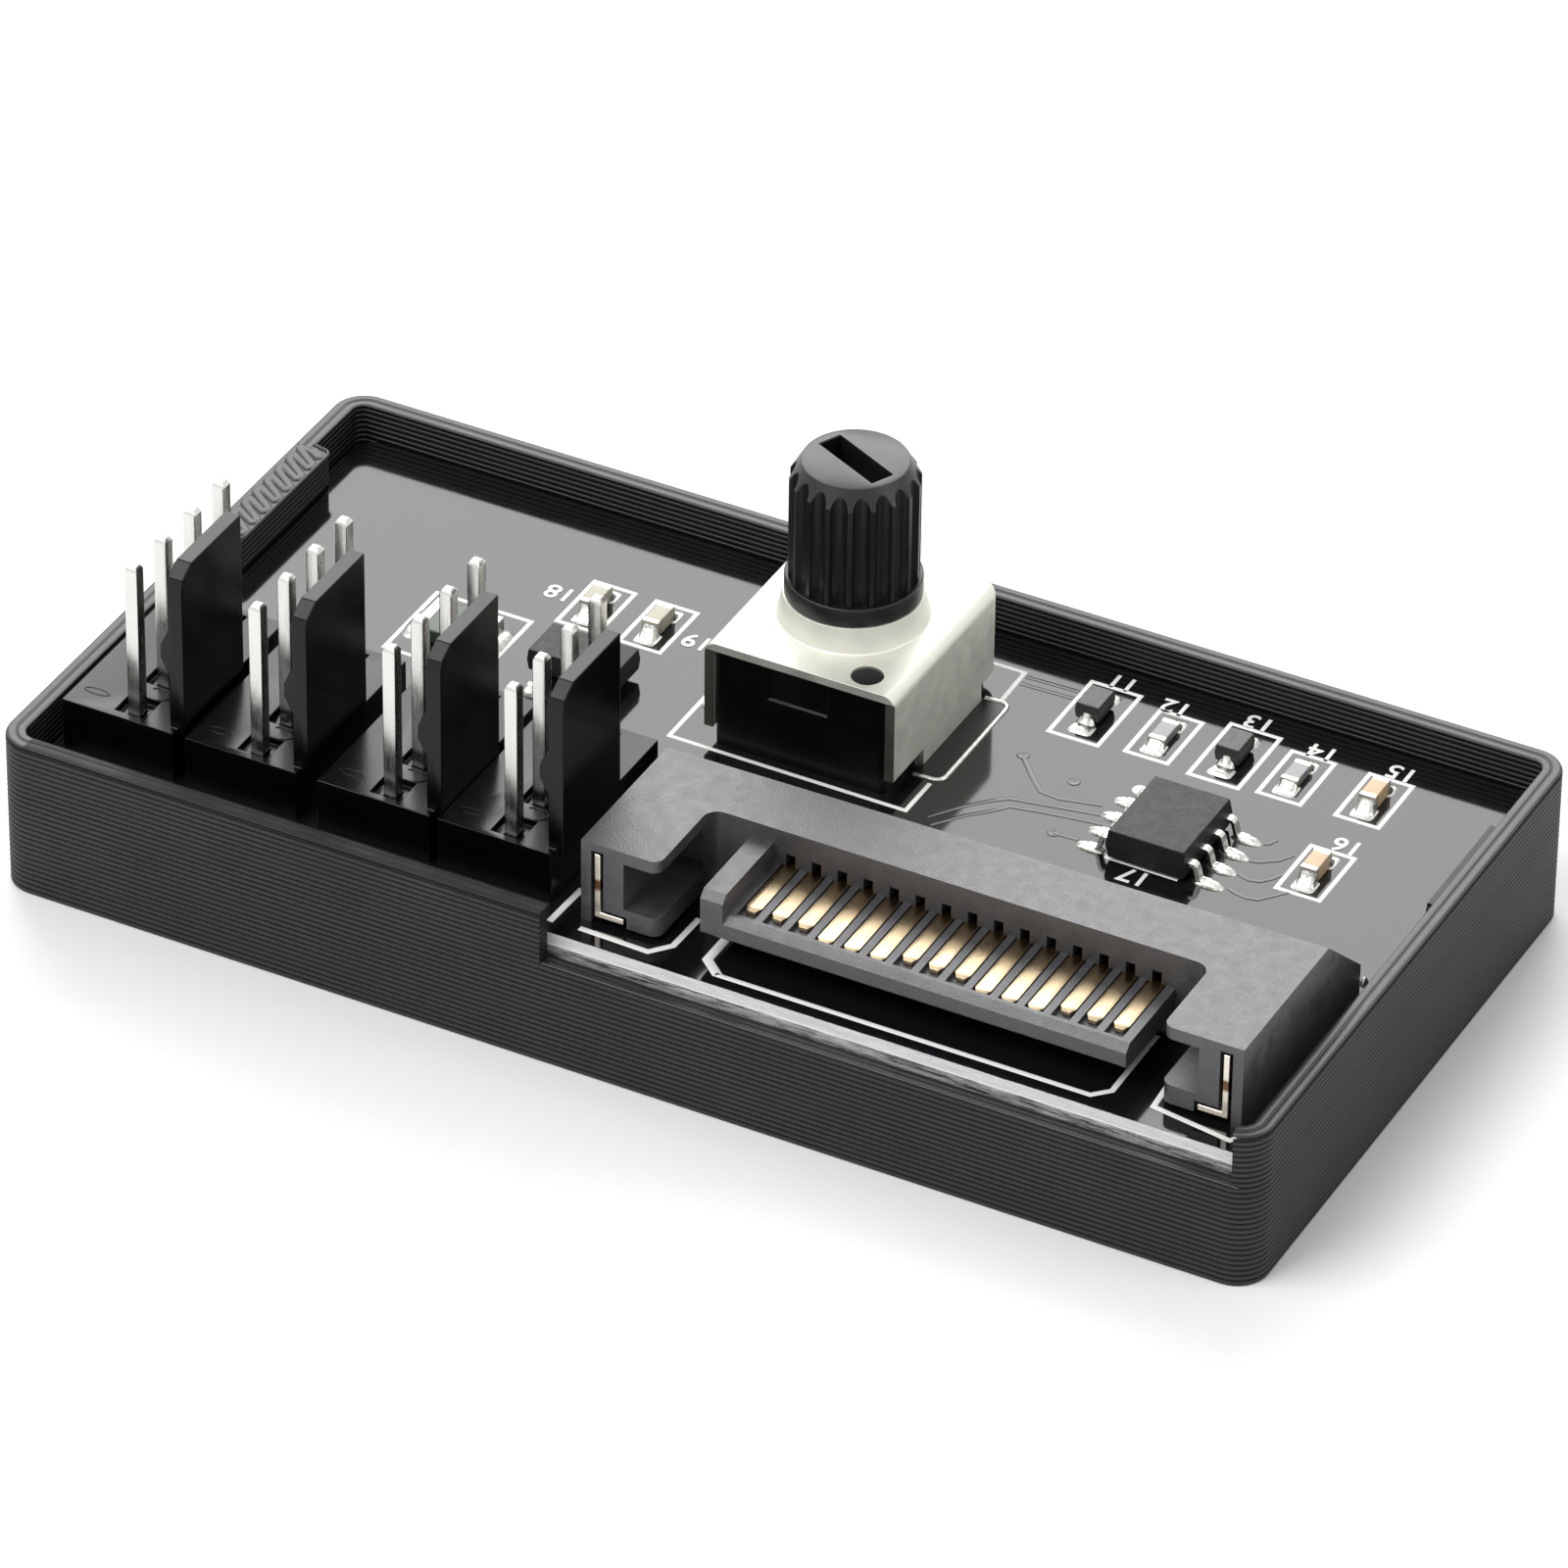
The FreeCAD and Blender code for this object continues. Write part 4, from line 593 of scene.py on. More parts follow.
def board_finish(colours):
    """Black lacquer over glass fibre: mirror-like on top; on the scored front edge and the other edges, pale
    broken fibre with a painted highlight line and a painted lit slope above it near the top, chosen by height
    and by distance from the front."""
    material, tree, shader = start_material("board_lacquer")
    made = use_group(tree, "moulded_mottle", Colour=opaque(colours.board), Cloud=0.5, Cloud_Size=2.5,
                     Grain_Size=0.5, Roughness=0.085, Gloss_Change=0.05, Relief=0.0000004)
    shader.inputs["Specular IOR Level"].default_value = 0.44
    shader.inputs["Specular Tint"].default_value = (1.0, 0.97, 0.96, 1)
    place = add_node(tree, "ShaderNodeTexCoord").outputs["Object"]
    axes = add_node(tree, "ShaderNodeSeparateXYZ", {0: place}).outputs
    long = add_node(tree, "ShaderNodeVectorMath", {0: place, 1: (420.0, 5200.0, 5200.0)},
                    operation="MULTIPLY").outputs[0]
    ragged = add_node(tree, "ShaderNodeTexNoise", {"Vector": long, "Scale": 1.0, "Detail": 5.0,
                                                   "Roughness": 0.8}).outputs[0]
    shift = math_node(tree, "MULTIPLY", math_node(tree, "SUBTRACT", ragged), 0.00008)
    near_front = math_node(tree, "LESS_THAN", math_node(tree, "ADD", axes[1], shift),
                           (BOARD_LOW[1] + 0.25) * MM)
    below_top = math_node(tree, "LESS_THAN", axes[2], (TOP - 0.03) * MM)
    edge = math_node(tree, "MAXIMUM", near_front, below_top)
    fibre = add_node(tree, "ShaderNodeValToRGB", {0: ragged})
    fibre.color_ramp.elements[0].position = 0.40
    fibre.color_ramp.elements[0].color = (0.035, 0.035, 0.035, 1)
    fibre.color_ramp.elements[1].position = 0.60
    fibre.color_ramp.elements[1].color = (0.60, 0.60, 0.60, 1)
    # Painted light near the edges' top: a painted highlight line of near white, and above it a painted lit
    # slope of pale grey where a scored bevel would face the light, over the fibre's own texture.
    level = add_node(tree, "ShaderNodeMapRange", {0: axes[2], 1: (TOP - 0.46) * MM, 2: (TOP - 0.4) * MM},
                     clamp=True).outputs[0]
    painted_slope_mask = add_node(tree, "ShaderNodeMapRange", {0: axes[2], 1: (TOP - 0.4) * MM, 2: (TOP - 0.34) * MM},
                   clamp=True).outputs[0]
    bevel = add_node(tree, "ShaderNodeMix", {0: level, 6: fibre.outputs[0], 7: (0.95, 0.95, 0.95, 1)},
                     data_type="RGBA").outputs[2]
    slope = add_node(tree, "ShaderNodeMix", {0: 0.8, 6: fibre.outputs[0], 7: (0.74, 0.74, 0.75, 1)},
                     data_type="RGBA").outputs[2]
    front = add_node(tree, "ShaderNodeMix", {0: painted_slope_mask, 6: bevel, 7: slope}, data_type="RGBA").outputs[2]
    tint = add_node(tree, "ShaderNodeMix", {0: edge, 6: made["Colour"], 7: front}, data_type="RGBA")
    rough = add_node(tree, "ShaderNodeMix", {0: edge, 2: made["Roughness"], 3: 0.8})
    rise = math_node(tree, "MULTIPLY", ragged, edge)
    bump = add_node(tree, "ShaderNodeBump", {"Height": rise, "Distance": 0.00012,
                                             "Normal": made["Normal"]})
    tree.links.new(tint.outputs[2], shader.inputs["Base Color"])
    tree.links.new(rough.outputs[0], shader.inputs["Roughness"])
    tree.links.new(bump.outputs[0], shader.inputs["Normal"])
    return material


def make_finishes(colours):
    """Build the shared groups once, then every finish by name."""
    mottle_group()
    layer_group()
    brush_group()
    return {
        "tray": tray_finish(colours),
        "bead": mottled("rim_bead", colours.tray, 0.36, cloud=0.4, grain_size=0.2, relief=0.000004,
                        Specular_IOR_Level=0.5),
        "skin": skin_finish(colours),
        "board": board_finish(colours),
        "trace": mottled("lacquered_copper", colours.board, 0.12, cloud=0.3, relief=0.0000005),
        "ink": mottled("white_ink", colours.ink, 0.6, cloud=0.10, cloud_size=0.5, grain_size=0.05,
                       relief=0.000004),
        "header": mottled("header_plastic", colours.header, 0.22, cloud=0.6, grain_size=0.09,
                          relief=0.0000035, Specular_IOR_Level=0.27),
        "pin": drawn("tin_pin", colours.tin, 0.25, tarnish=0.16),
        "plug": mottled("plug_plastic", colours.plug, 0.4, cloud=1.1, cloud_size=0.7, grain_size=0.1,
                        gloss_change=0.35, relief=0.000025, Specular_IOR_Level=0.95),
        "gold": gold_finish(colours),
        "strip": strip_finish(),
        "cover": cover_finish(colours),
        "case": mottled("dial_case_plastic", colours.header, 0.33, cloud=0.4, relief=0.000004,
                        Specular_IOR_Level=0.3),
        "shaft": mottled("dial_shaft_plastic", colours.shaft, 0.34, cloud=0.35, grain_size=0.10,
                         relief=0.000004, Specular_IOR_Level=0.5),
        "chip": mottled("chip_resin", colours.chip, 0.42, cloud=0.9, cloud_size=0.35, grain_size=0.09,
                        gloss_change=0.4, relief=0.000024, Specular_IOR_Level=0.26),
        "diode": mottled("diode_resin", (0.028, 0.027, 0.025), 0.42, cloud=0.8, cloud_size=0.3,
                         grain_size=0.08, gloss_change=0.3, relief=0.00001, Specular_IOR_Level=0.5),
        "solder": mottled("bright_solder", (0.62, 0.62, 0.59), 0.28, cloud=0.7, cloud_size=0.3,
                          grain_size=0.2, relief=0.000025, Metallic=1.0),
        "cap": mottled("cream_metal_cap", (0.56, 0.54, 0.47), 0.34, cloud=0.5, cloud_size=0.3,
                       grain_size=0.1, relief=0.000008, Metallic=1.0),
        "olive": mottled("olive_ceramic", (0.42, 0.40, 0.31), 0.35, cloud=0.35, cloud_size=0.4,
                         grain_size=0.05),
        "tan": mottled("tan_ceramic", (0.56, 0.39, 0.22), 0.35, cloud=0.35, cloud_size=0.4,
                       grain_size=0.05),
        "glaze": mottled("grey_glaze", (0.22, 0.22, 0.225), 0.25, cloud=0.3, cloud_size=0.3,
                         grain_size=0.05, relief=0.000003),
        "laminate": mottled("fuse_laminate", (0.03, 0.05, 0.035), 0.35, cloud=0.4, cloud_size=0.5,
                            grain_size=0.08),
    }


FINISH = {}


def colour_property(name, description, default):
    """A colour that a user would change."""
    return bpy.props.FloatVectorProperty(name=name, description=description, subtype="COLOR", size=3,
                                         min=0, max=1, default=default)


def length_property(name, description, default):
    """A length that a user would change, in metres."""
    return bpy.props.FloatProperty(name=name, description=description, subtype="DISTANCE",
                                   unit="LENGTH", min=0, precision=6, default=default * MM)


class HubColours(bpy.types.PropertyGroup):
    """Colours and textures' scale of the hub's finishes."""

    tray: colour_property("Tray", "Printed plastic of the tray", (0.011, 0.011, 0.012))
    crest: colour_property("Layer crests", "Lit crests of the tray's layers", (0.047, 0.047, 0.050))
    board: colour_property("Board", "Lacquer on the circuit board", (0.006, 0.006, 0.007))
    ink: colour_property("Ink", "Printed outlines on the board", (0.86, 0.86, 0.84))
    header: colour_property("Header", "Plastic of the fan headers", (0.0016, 0.0016, 0.0017))
    plug: colour_property("Plug", "Plastic of the power plug", (0.042, 0.042, 0.047))
    tin: colour_property("Tin", "Tin plate on the pins", (0.71, 0.70, 0.67))
    gold: colour_property("Gold", "Gold flash on the contacts", (0.56, 0.45, 0.29))
    cover: colour_property("Cover", "Plated sheet over the dial", (0.72, 0.72, 0.66))
    shaft: colour_property("Shaft", "Plastic of the dial's shaft", (0.0055, 0.0055, 0.0055))
    chip: colour_property("Chip", "Resin of the chips", (0.019, 0.018, 0.017))
    layer_height: length_property("Layer height", "Height of one printed layer", 0.277)


class HubSizes(bpy.types.PropertyGroup):
    """Sizes of the details that the solids leave to the looks."""

    bead_width: length_property("Bead", "Width of a printed bead on the rim", 0.42)
    bead_height: length_property("Bead height", "Rise of a printed bead", 0.05)
    ink_width: length_property("Ink line", "Width of a printed outline", 0.25)
    ink_height: length_property("Ink height", "Thickness of the ink", 0.02)
    number_height: length_property("Number", "Height of the printed numbers", 1.45)
    trace_width: length_property("Trace", "Width of a copper trace", 0.26)
    trace_height: length_property("Trace height", "Rise of the lacquer over a trace", 0.022)
    edge_radius: length_property("Edge", "Softness of the moulded edges", 0.06)


def sizes():
    """The size settings as plain numbers in millimetres."""
    group = bpy.context.scene.hub_sizes
    return {name: getattr(group, name) / MM for name in HubSizes.__annotations__}


class HUB_OT_finishes(bpy.types.Operator):
    """Make the procedural finishes that the pieces share"""

    bl_idname = "hub.finishes"
    bl_label = "Finishes"

    def execute(self, context):
        FINISH.clear()
        FINISH.update(make_finishes(context.scene.hub_colours))
        return {"FINISHED"}


class HUB_OT_tray(bpy.types.Operator):
    """Dress the printed tray and lay the beads of its rim, hook and window sill"""

    bl_idname = "hub.tray"
    bl_label = "Tray"

    def execute(self, context):
        size = sizes()
        dressed("tray", "tray_shell", FINISH["tray"], bevel=0.09, segments=3)
        low, high = span("tray")
        bead = hump(size["bead_width"], size["bead_height"])
        paths = self.rim_paths(low, high, size["bead_width"])
        shapes = [carry(bead, path) for path in paths[:4]]
        zigzag, edge = self.hook_paths(low, high)
        shapes.append(carry(hump(0.5, 0.12, 8), zigzag))
        shapes.append(carry(hump(0.2, 0.13), edge))
        shapes.append(plate(edge, high[2] - 0.08, high[2] + 0.012, "z"))
        piece("rim_beads", shapes, FINISH["bead"], sharp=60)
        # The two front beads take the duller skin finish, not the rim's: a shaded copy that paints the
        # headers' shade and dark reflection on them.
        front = [carry(bead, path) for path in paths[4:]]
        piece("shaded_front_rim_beads", front, FINISH["skin"], sharp=60)
        piece("hook_corner", plate(edge, TOP + 0.13, high[2] - 0.08, "z"), FINISH["tray"])
        piece("wall_layers", self.wall_layers(low, high), FINISH["skin"], sharp=80)
        return {"FINISHED"}

    def wall_layers(self, low, high):
        """The outer wall's stacked layers: 0.01 + relief |sin(pi z / pitch)|^0.5 out from the
        wall, below the sill all round and above it from the window's right end to its left."""
        pitch = bpy.context.scene.hub_colours.layer_height / MM
        loop = rounded_loop(high[0], high[1], CORNER, 8)
        front = (loop[:, 1] < low[1] + 1e-6) & (loop[:, 0] > WINDOW[0])
        keep = loop[~front]
        keep = keep[np.argsort(np.mod(np.arctan2(keep[:, 1], keep[:, 0]) + np.pi / 4, 2 * np.pi))]
        upper = np.vstack((keep, [[WINDOW[0], low[1]]]))
        sill = round(SILL / pitch) * pitch
        shapes = []
        for path, bottom, top, closed in ((loop, 0.03, sill, True), (upper, sill, high[2] - 0.12, False)):
            level = np.linspace(bottom, top, int((top - bottom) / pitch * 8) + 2)
            out = 0.01 + 0.055 * np.sqrt(np.abs(np.sin(np.pi * level / pitch)))
            section = np.vstack((np.column_stack((-out, level)), ((0.02, top), (0.02, bottom))))
            flat = np.column_stack((path, np.zeros(len(path))))
            shapes.append(carry(section, flat, closed=closed))
        return shapes

    def rim_paths(self, low, high, width):
        """An outer and an inner bead round the wall's top, each from the window's right end
        round the back to the left corner, two beads on the window's sill, and last the two
        front beads from the left corner to the window."""
        level = high[2] - 0.02
        paths, front_paths = [], []
        for off in (0.5 * width, 1.5 * width + 0.02):
            loop = rounded_loop(high[0] - off, high[1] - off, max(CORNER - off, 0.3), 10)
            front = loop[:, 1] < low[1] + off + 1e-6
            keep = loop[~front | (loop[:, 0] < WINDOW[0])]
            keep = keep[np.argsort(np.mod(np.arctan2(keep[:, 1], keep[:, 0]) + np.pi / 4, 2 * np.pi))]
            path = np.column_stack((keep, np.full(len(keep), level)))
            paths.append(path)
            front_paths.append(np.vstack((path[-1], (WINDOW[0], low[1] + off, level))))
        for y in (low[1] + 0.16, low[1] + 0.49):
            paths.append(np.array(((WINDOW[0] + 0.05, y, SILL - 0.02), (WINDOW[1], y, SILL - 0.02))))
        return paths + front_paths

    def hook_paths(self, low, high):
        """The hook's filling, one bead laid back and forth: its passes meet in pairs at the
        inner edge, y0 + k s, and part at the outer edge by half a step, with a slope of 0.6.
        A thin bead goes round the hook's edge."""
        level = high[2] - 0.04
        inner, outer, step = low[0] + 1.56, low[0] + 0.42, 1.02
        lane = []
        for number in range(8):
            y = 2.25 + step * number
            lean = 0.6 * (inner - outer)
            lane += [(outer, y + lean - 0.1), (inner - 0.1, y - 0.1), (inner, y), (inner, y + 0.22),
                     (inner - 0.1, y + 0.34), (outer, y + lean + 0.42), (outer - 0.06, y + lean + 0.6)]
        lane += [(inner - 0.62, y + 1.2), (inner - 0.12, y + 0.9), (inner - 0.04, y + 1.02),
                 (inner - 0.6, y + 1.42)]
        lane = np.array(lane)
        zigzag = np.column_stack((lane, np.full(len(lane), level)))
        turn = np.linspace(0, np.pi / 2, 7)
        corner = np.column_stack((low[0] + 1.36 + 0.44 * np.cos(turn), 10.56 + 0.44 * np.sin(turn)))
        edge = np.vstack(((low[0] + 0.95, 2.3), (low[0] + 1.6, 2.6), (low[0] + 1.8, 3.0), corner,
                          (low[0] + 0.8, 11.12)))
        return [zigzag, np.column_stack((edge, np.full(len(edge), high[2] - 0.02)))]


class HUB_OT_board(bpy.types.Operator):
    """Dress the circuit board and raise its traces and vias"""

    bl_idname = "hub.board"
    bl_label = "Circuit board"

    TRACES = (
        ((6.9, 0.6), (8.02, 2.14), (8.88, 3.04), (9.5, 3.55), (11.49, 3.95), (13.47, 4.35), (14.6, 4.45)),
        ((7.3, 0.1), (8.36, 1.48), (9.17, 2.26), (9.77, 3.01), (11.08, 3.3), (13.32, 3.67), (14.5, 3.8)),
        ((8.58, 6.73), (9.5, 5.68), (10.49, 4.68), (11.41, 4.59), (13.36, 5.05)),
        ((12.39, 2.15), (13.57, 2.2)),
        ((5.9, 12.35), (8.9, 12.45)),
        ((5.9, 11.75), (9.0, 11.85)),
        ((20.9, 4.4), (21.3, 4.5), (22.04, 5.05), (22.45, 5.7)),
        ((20.9, 3.3), (21.2, 3.18), (21.54, 3.10), (21.97, 3.21), (22.34, 3.62), (22.7, 4.3)),
        ((21.0, 2.1), (21.5, 1.91), (22.0, 1.83), (22.48, 1.95), (23.0, 2.56), (23.5, 3.2)),
        ((20.9, 5.85), (21.1, 5.95), (21.3, 6.4)),
    )
    VIAS = ((8.54, 6.8), (11.45, 6.06), (12.39, 2.15))

    def execute(self, context):
        size = sizes()
        dressed("circuit_board", "board_slab", FINISH["board"], bevel=0.02)
        section = hump(size["trace_width"], size["trace_height"], 8)
        level = TOP - 0.002
        shapes = [carry(section, [(x, y, level) for x, y in trace]) for trace in self.TRACES]
        ring = [(0.30, 0.0), (0.27, 0.018), (0.2, 0.022), (0.15, 0.008), (0.001, 0.004)]
        shapes += [moved(lathe(ring, 28), x, y, level) for x, y in self.VIAS]
        piece("traces", shapes, FINISH["trace"], sharp=60)
        return {"FINISHED"}


class HUB_OT_print(bpy.types.Operator):
    """Print the white outlines and plain numbers on the board"""

    bl_idname = "hub.print"
    bl_label = "White print"

    LINES = (
        (1.3, ((-4.0, -14.3), (-3.9, -11.5))),
        (1.25, ((-2.6, -14.1), (0.84, -14.2), (1.6, -13.3), (1.66, -11.0))),
        (1.8, ((3.39, -11.83), (3.39, -13.47), (4.31, -14.27))),
        (1.1, ((4.2, -14.27), (22.35, -14.25), (23.05, -13.55), (23.0, -9.1))),
        (1.1, ((24.8, -9.5), (25.1, -13.7), (29.0, -14.3), (29.35, -13.75))),
        (0.9, ((5.86, 2.88), (5.86, 0.54), (-6.07, 0.6), (-6.07, 12.6), (5.7, 12.62), (5.76, 9.98))),
        (0.9, ((15.3, 1.95), (15.27, 1.65), (18.78, 1.6))),
    )
    BOXES = ((-20.7, 0.57, -15.8, 5.5),)
    PARTS = (("capacitor_1", 2.1, 3.6), ("capacitor_2", 2.1, 3.6), ("capacitor_3", 2.1, 3.6),
             ("capacitor_4", 2.1, 3.6), ("resistor_1", 2.1, 3.6), ("resistor_2", 2.1, 3.6),
             ("diode_1", 2.45, 4.4), ("diode_2", 2.45, 4.4))
    NUMBERS = (("11", 9.96, 14.01), ("12", 12.9, 13.42), ("13", 16.72, 14.11), ("14", 20.21, 13.41),
               ("15", 24.0, 13.65), ("16", 24.25, 7.45), ("17", 17.0, 0.9), ("18", -15.75, 8.17),
               ("19", -8.41, 7.7))

    def execute(self, context):
        size = sizes()
        shapes = [carry(strip(size["ink_width"] * share, size["ink_height"]),
                        [(x, y, TOP) for x, y in line]) for share, line in self.LINES]
        section = strip(size["ink_width"] * 0.9, size["ink_height"])
        boxes = list(self.BOXES)
        for node, width, depth in self.PARTS:
            low, high = span(node)
            x, y = (low[:2] + high[:2]) / 2
            boxes.append((x - width / 2, y - depth / 2, x + width / 2, y + depth / 2))
        for left, front, right, back in boxes:
            corners = ((left, front, TOP), (right, front, TOP), (right, back, TOP), (left, back, TOP))
            shapes.append(carry(section, corners, closed=True))
        piece("white_outlines", shapes, FINISH["ink"], sharp=50)
        low, high = span("timer_chip")
        dot = [(0.36, 0.0), (0.34, size["ink_height"]), (0.001, size["ink_height"])]
        piece("chip_corner_mark", moved(lathe(dot, 32), low[0] - 0.95, high[1] + 0.62, TOP),
              FINISH["ink"], sharp=50)
        self.print_numbers(size)
        return {"FINISHED"}

    def print_numbers(self, size):
        """Plain numbers beside the parts, read from the back edge of the board."""
        for text, x, y in self.NUMBERS:
            curve = bpy.data.curves.new(f"number_{text}", "FONT")
            curve.body = text
            curve.size = size["number_height"] * MM
            curve.align_x = "CENTER"
            curve.align_y = "CENTER"
            curve.offset = 0.000025
            curve.resolution_u = 4
            holder = bpy.data.objects.new(f"number_{text}_curve", curve)
            bpy.context.scene.collection.objects.link(holder)
            bpy.context.view_layer.update()
            mesh = bpy.data.meshes.new_from_object(holder)
            bpy.data.objects.remove(holder)
            place = Matrix.Translation(Vector((x, y, TOP + size["ink_height"])) * MM)
            mesh.transform(place @ Matrix.Rotation(math.pi, 4, "Z"))
            mesh.materials.clear()
            mesh.materials.append(FINISH["ink"])
            item = bpy.data.objects.new(f"number_{text}", mesh)
            bpy.context.scene.collection.objects.link(item)
            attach(item, HUB)


class HUB_OT_headers(bpy.types.Operator):
    """Dress the four fan headers, their mould marks and their square pins"""

    bl_idname = "hub.headers"
    bl_label = "Fan headers"

    def execute(self, context):
        size = sizes()
        for number in (1, 2, 3, 4):
            dressed(f"fan_header_{number}", f"header_block_{number}", FINISH["header"],
                    bevel=size["edge_radius"])
            self.marks(number)
            self.pins(number)
        return {"FINISHED"}

    def marks(self, number):
        """The oval left by a mould pin, and a raised arc behind the first pin."""
        low, high = span(f"header_pins_{number}")
        x, y = low[0] + 0.32, low[1] + 0.32
        top = TOP + 2.54
        angle = np.linspace(0, 2 * np.pi, 40, endpoint=False)
        oval = np.column_stack((x - 2.15 + 0.62 * np.cos(angle), y + 0.1 + 0.2 * np.sin(angle),
                                np.full(40, top - 0.003)))
        arc = np.linspace(-0.4 * np.pi, 0.75 * np.pi, 22)
        raised = np.column_stack((x + 0.35 + 0.62 * np.cos(arc), y + 1.2 + 0.42 * np.sin(arc),
                                  np.full(22, top - 0.003)))
        shapes = [carry(hump(0.09, 0.03), oval, closed=True), carry(hump(0.13, 0.05), raised)]
        piece(f"mould_marks_{number}", shapes, FINISH["header"], sharp=70)

    def pins(self, number):
        """Square pins: the section sgn(c) |c|^0.16 keeps its edges soft, and both ends taper."""
        low, high = span(f"header_pins_{number}")
        half = (high[0] - low[0]) / 2
        angle = np.linspace(0, 2 * np.pi, 32, endpoint=False)
        ring = np.stack((np.sign(np.cos(angle)) * np.abs(np.cos(angle)) ** 0.16,
                         np.sign(np.sin(angle)) * np.abs(np.sin(angle)) ** 0.16), 1)
        height = high[2] - low[2]
        levels = np.array((0, 0.04, 0.22, height - 0.27, height - 0.2, height - 0.05, height))
        width = half * np.array((0.45, 0.6, 1.0, 1.0, 0.95, 0.66, 0.5))
        column = np.concatenate((ring[None] * width[:, None, None],
                                 np.broadcast_to(levels[:, None, None], (7, 32, 1))), -1)
        shape = grid_shape(column, wrap=True, ends=True)
        pins = [moved(shape, low[0] + half, y, low[2])
                for y in np.linspace(low[1] + half, high[1] - half, 4)]
        item = piece(f"square_pins_{number}", pins, FINISH["pin"], sharp=50)
        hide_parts(f"header_pins_{number}")


class HUB_OT_plug(bpy.types.Operator):
    """Dress the power plug, its gold contacts and its two folded strips"""

    bl_idname = "hub.plug"
    bl_label = "Power plug"

    def execute(self, context):
        body = dressed("plug_housing", "plug_body", FINISH["plug"], bevel=0.07, segments=3)
        self.slope_back(body.data)
        strips = dressed("plug_contacts", "contact_strips", FINISH["gold"], bevel=0.03)
        self.draw_back(strips.data)
        for side in ("left", "right"):
            dressed(f"plug_strip_{side}", f"folded_strip_{side}", FINISH["strip"], bevel=0.05)
        self.contact_faces()
        return {"FINISHED"}

    def slope_back(self, mesh):
        """Lean the housing's back wall forward, as its mould's draft does: the wall's top edge
        moves by 0.5 at the left end, and 0.014 less for each millimetre to the right."""
        low, high = span("plug_housing")
        points = np.empty(len(mesh.vertices) * 3)
        mesh.vertices.foreach_get("co", points)
        points = points.reshape(-1, 3)
        top = points[:, 2] > (high[2] - 0.6) * MM
        back = points[top, 1].max() - 0.3 * MM
        shift = 0.5 * MM - 0.014 * (points[:, 0] - low[0] * MM)
        points[:, 1] -= np.where(top & (points[:, 1] > back), shift, 0)
        mesh.vertices.foreach_set("co", points.ravel())
        mesh.update()

    def draw_back(self, mesh):
        """Draw the strips' square ends back under their round faces, so that y rises to the
        tip's line + 0.62, narrow each strip about its own middle, and pull the long tails in."""
        low, high = span("plug_contacts")
        points = np.empty(len(mesh.vertices) * 3)
        mesh.vertices.foreach_get("co", points)
        points = points.reshape(-1, 3)
        number = np.round((points[:, 0] / MM - low[0] - 0.42) / 1.27)
        tip = low[1] + np.where(number // 3 % 2 == 1, 0.0, 0.6)
        points[:, 1] = np.maximum(points[:, 1], (tip + 0.62) * MM)
        middle = (low[0] + 0.42 + 1.27 * number) * MM
        points[:, 0] = middle + 0.84 * (points[:, 0] - middle)
        points[:, 1] -= np.where(points[:, 1] > -3.2 * MM, 0.55 * MM, 0)
        mesh.vertices.foreach_set("co", points.ravel())
        mesh.update()

    def contact_faces(self):
        """Crowned faces with cut corners: half width w (0.5 + 0.5 t / 0.3) near the tip, height
        z0 + crown (1 - v^4), falling away at the tip."""
        low, high = span("plug_contacts")
        housing_low, housing_high = span("plug_housing")
        first, pitch, half = low[0] + 0.42, 1.27, 0.37
        back = housing_low[1] + 4.9
        shapes = []
        for number in range(15):
            long = number // 3 % 2 == 1
            front = low[1] - 0.05 + (0 if long else 0.6)
            along = np.concatenate((np.linspace(0, 0.3, 5), np.linspace(0.4, back - front, 6)))
            across = np.linspace(-1, 1, 9)[None, :]
            taper = np.minimum(0.5 + along / 0.6, 1)[:, None]
            dip = (np.clip(0.3 - along, 0, 1)[:, None] / 0.3) ** 2 * 0.07
            top = 8.70 + 0.035 * (1 - across ** 4) * taper - dip
            points = np.stack((across * half * taper * np.ones_like(along)[:, None],
                               (front + along)[:, None] * np.ones_like(across), top), -1)
            foot = points.copy()
            foot[..., 2] -= 0.16
            ring = np.concatenate((points, foot[:, ::-1]), 1)
            shapes.append(moved(grid_shape(ring, wrap=True, ends=True), first + number * pitch))
        piece("contact_faces", shapes, FINISH["gold"], sharp=55)


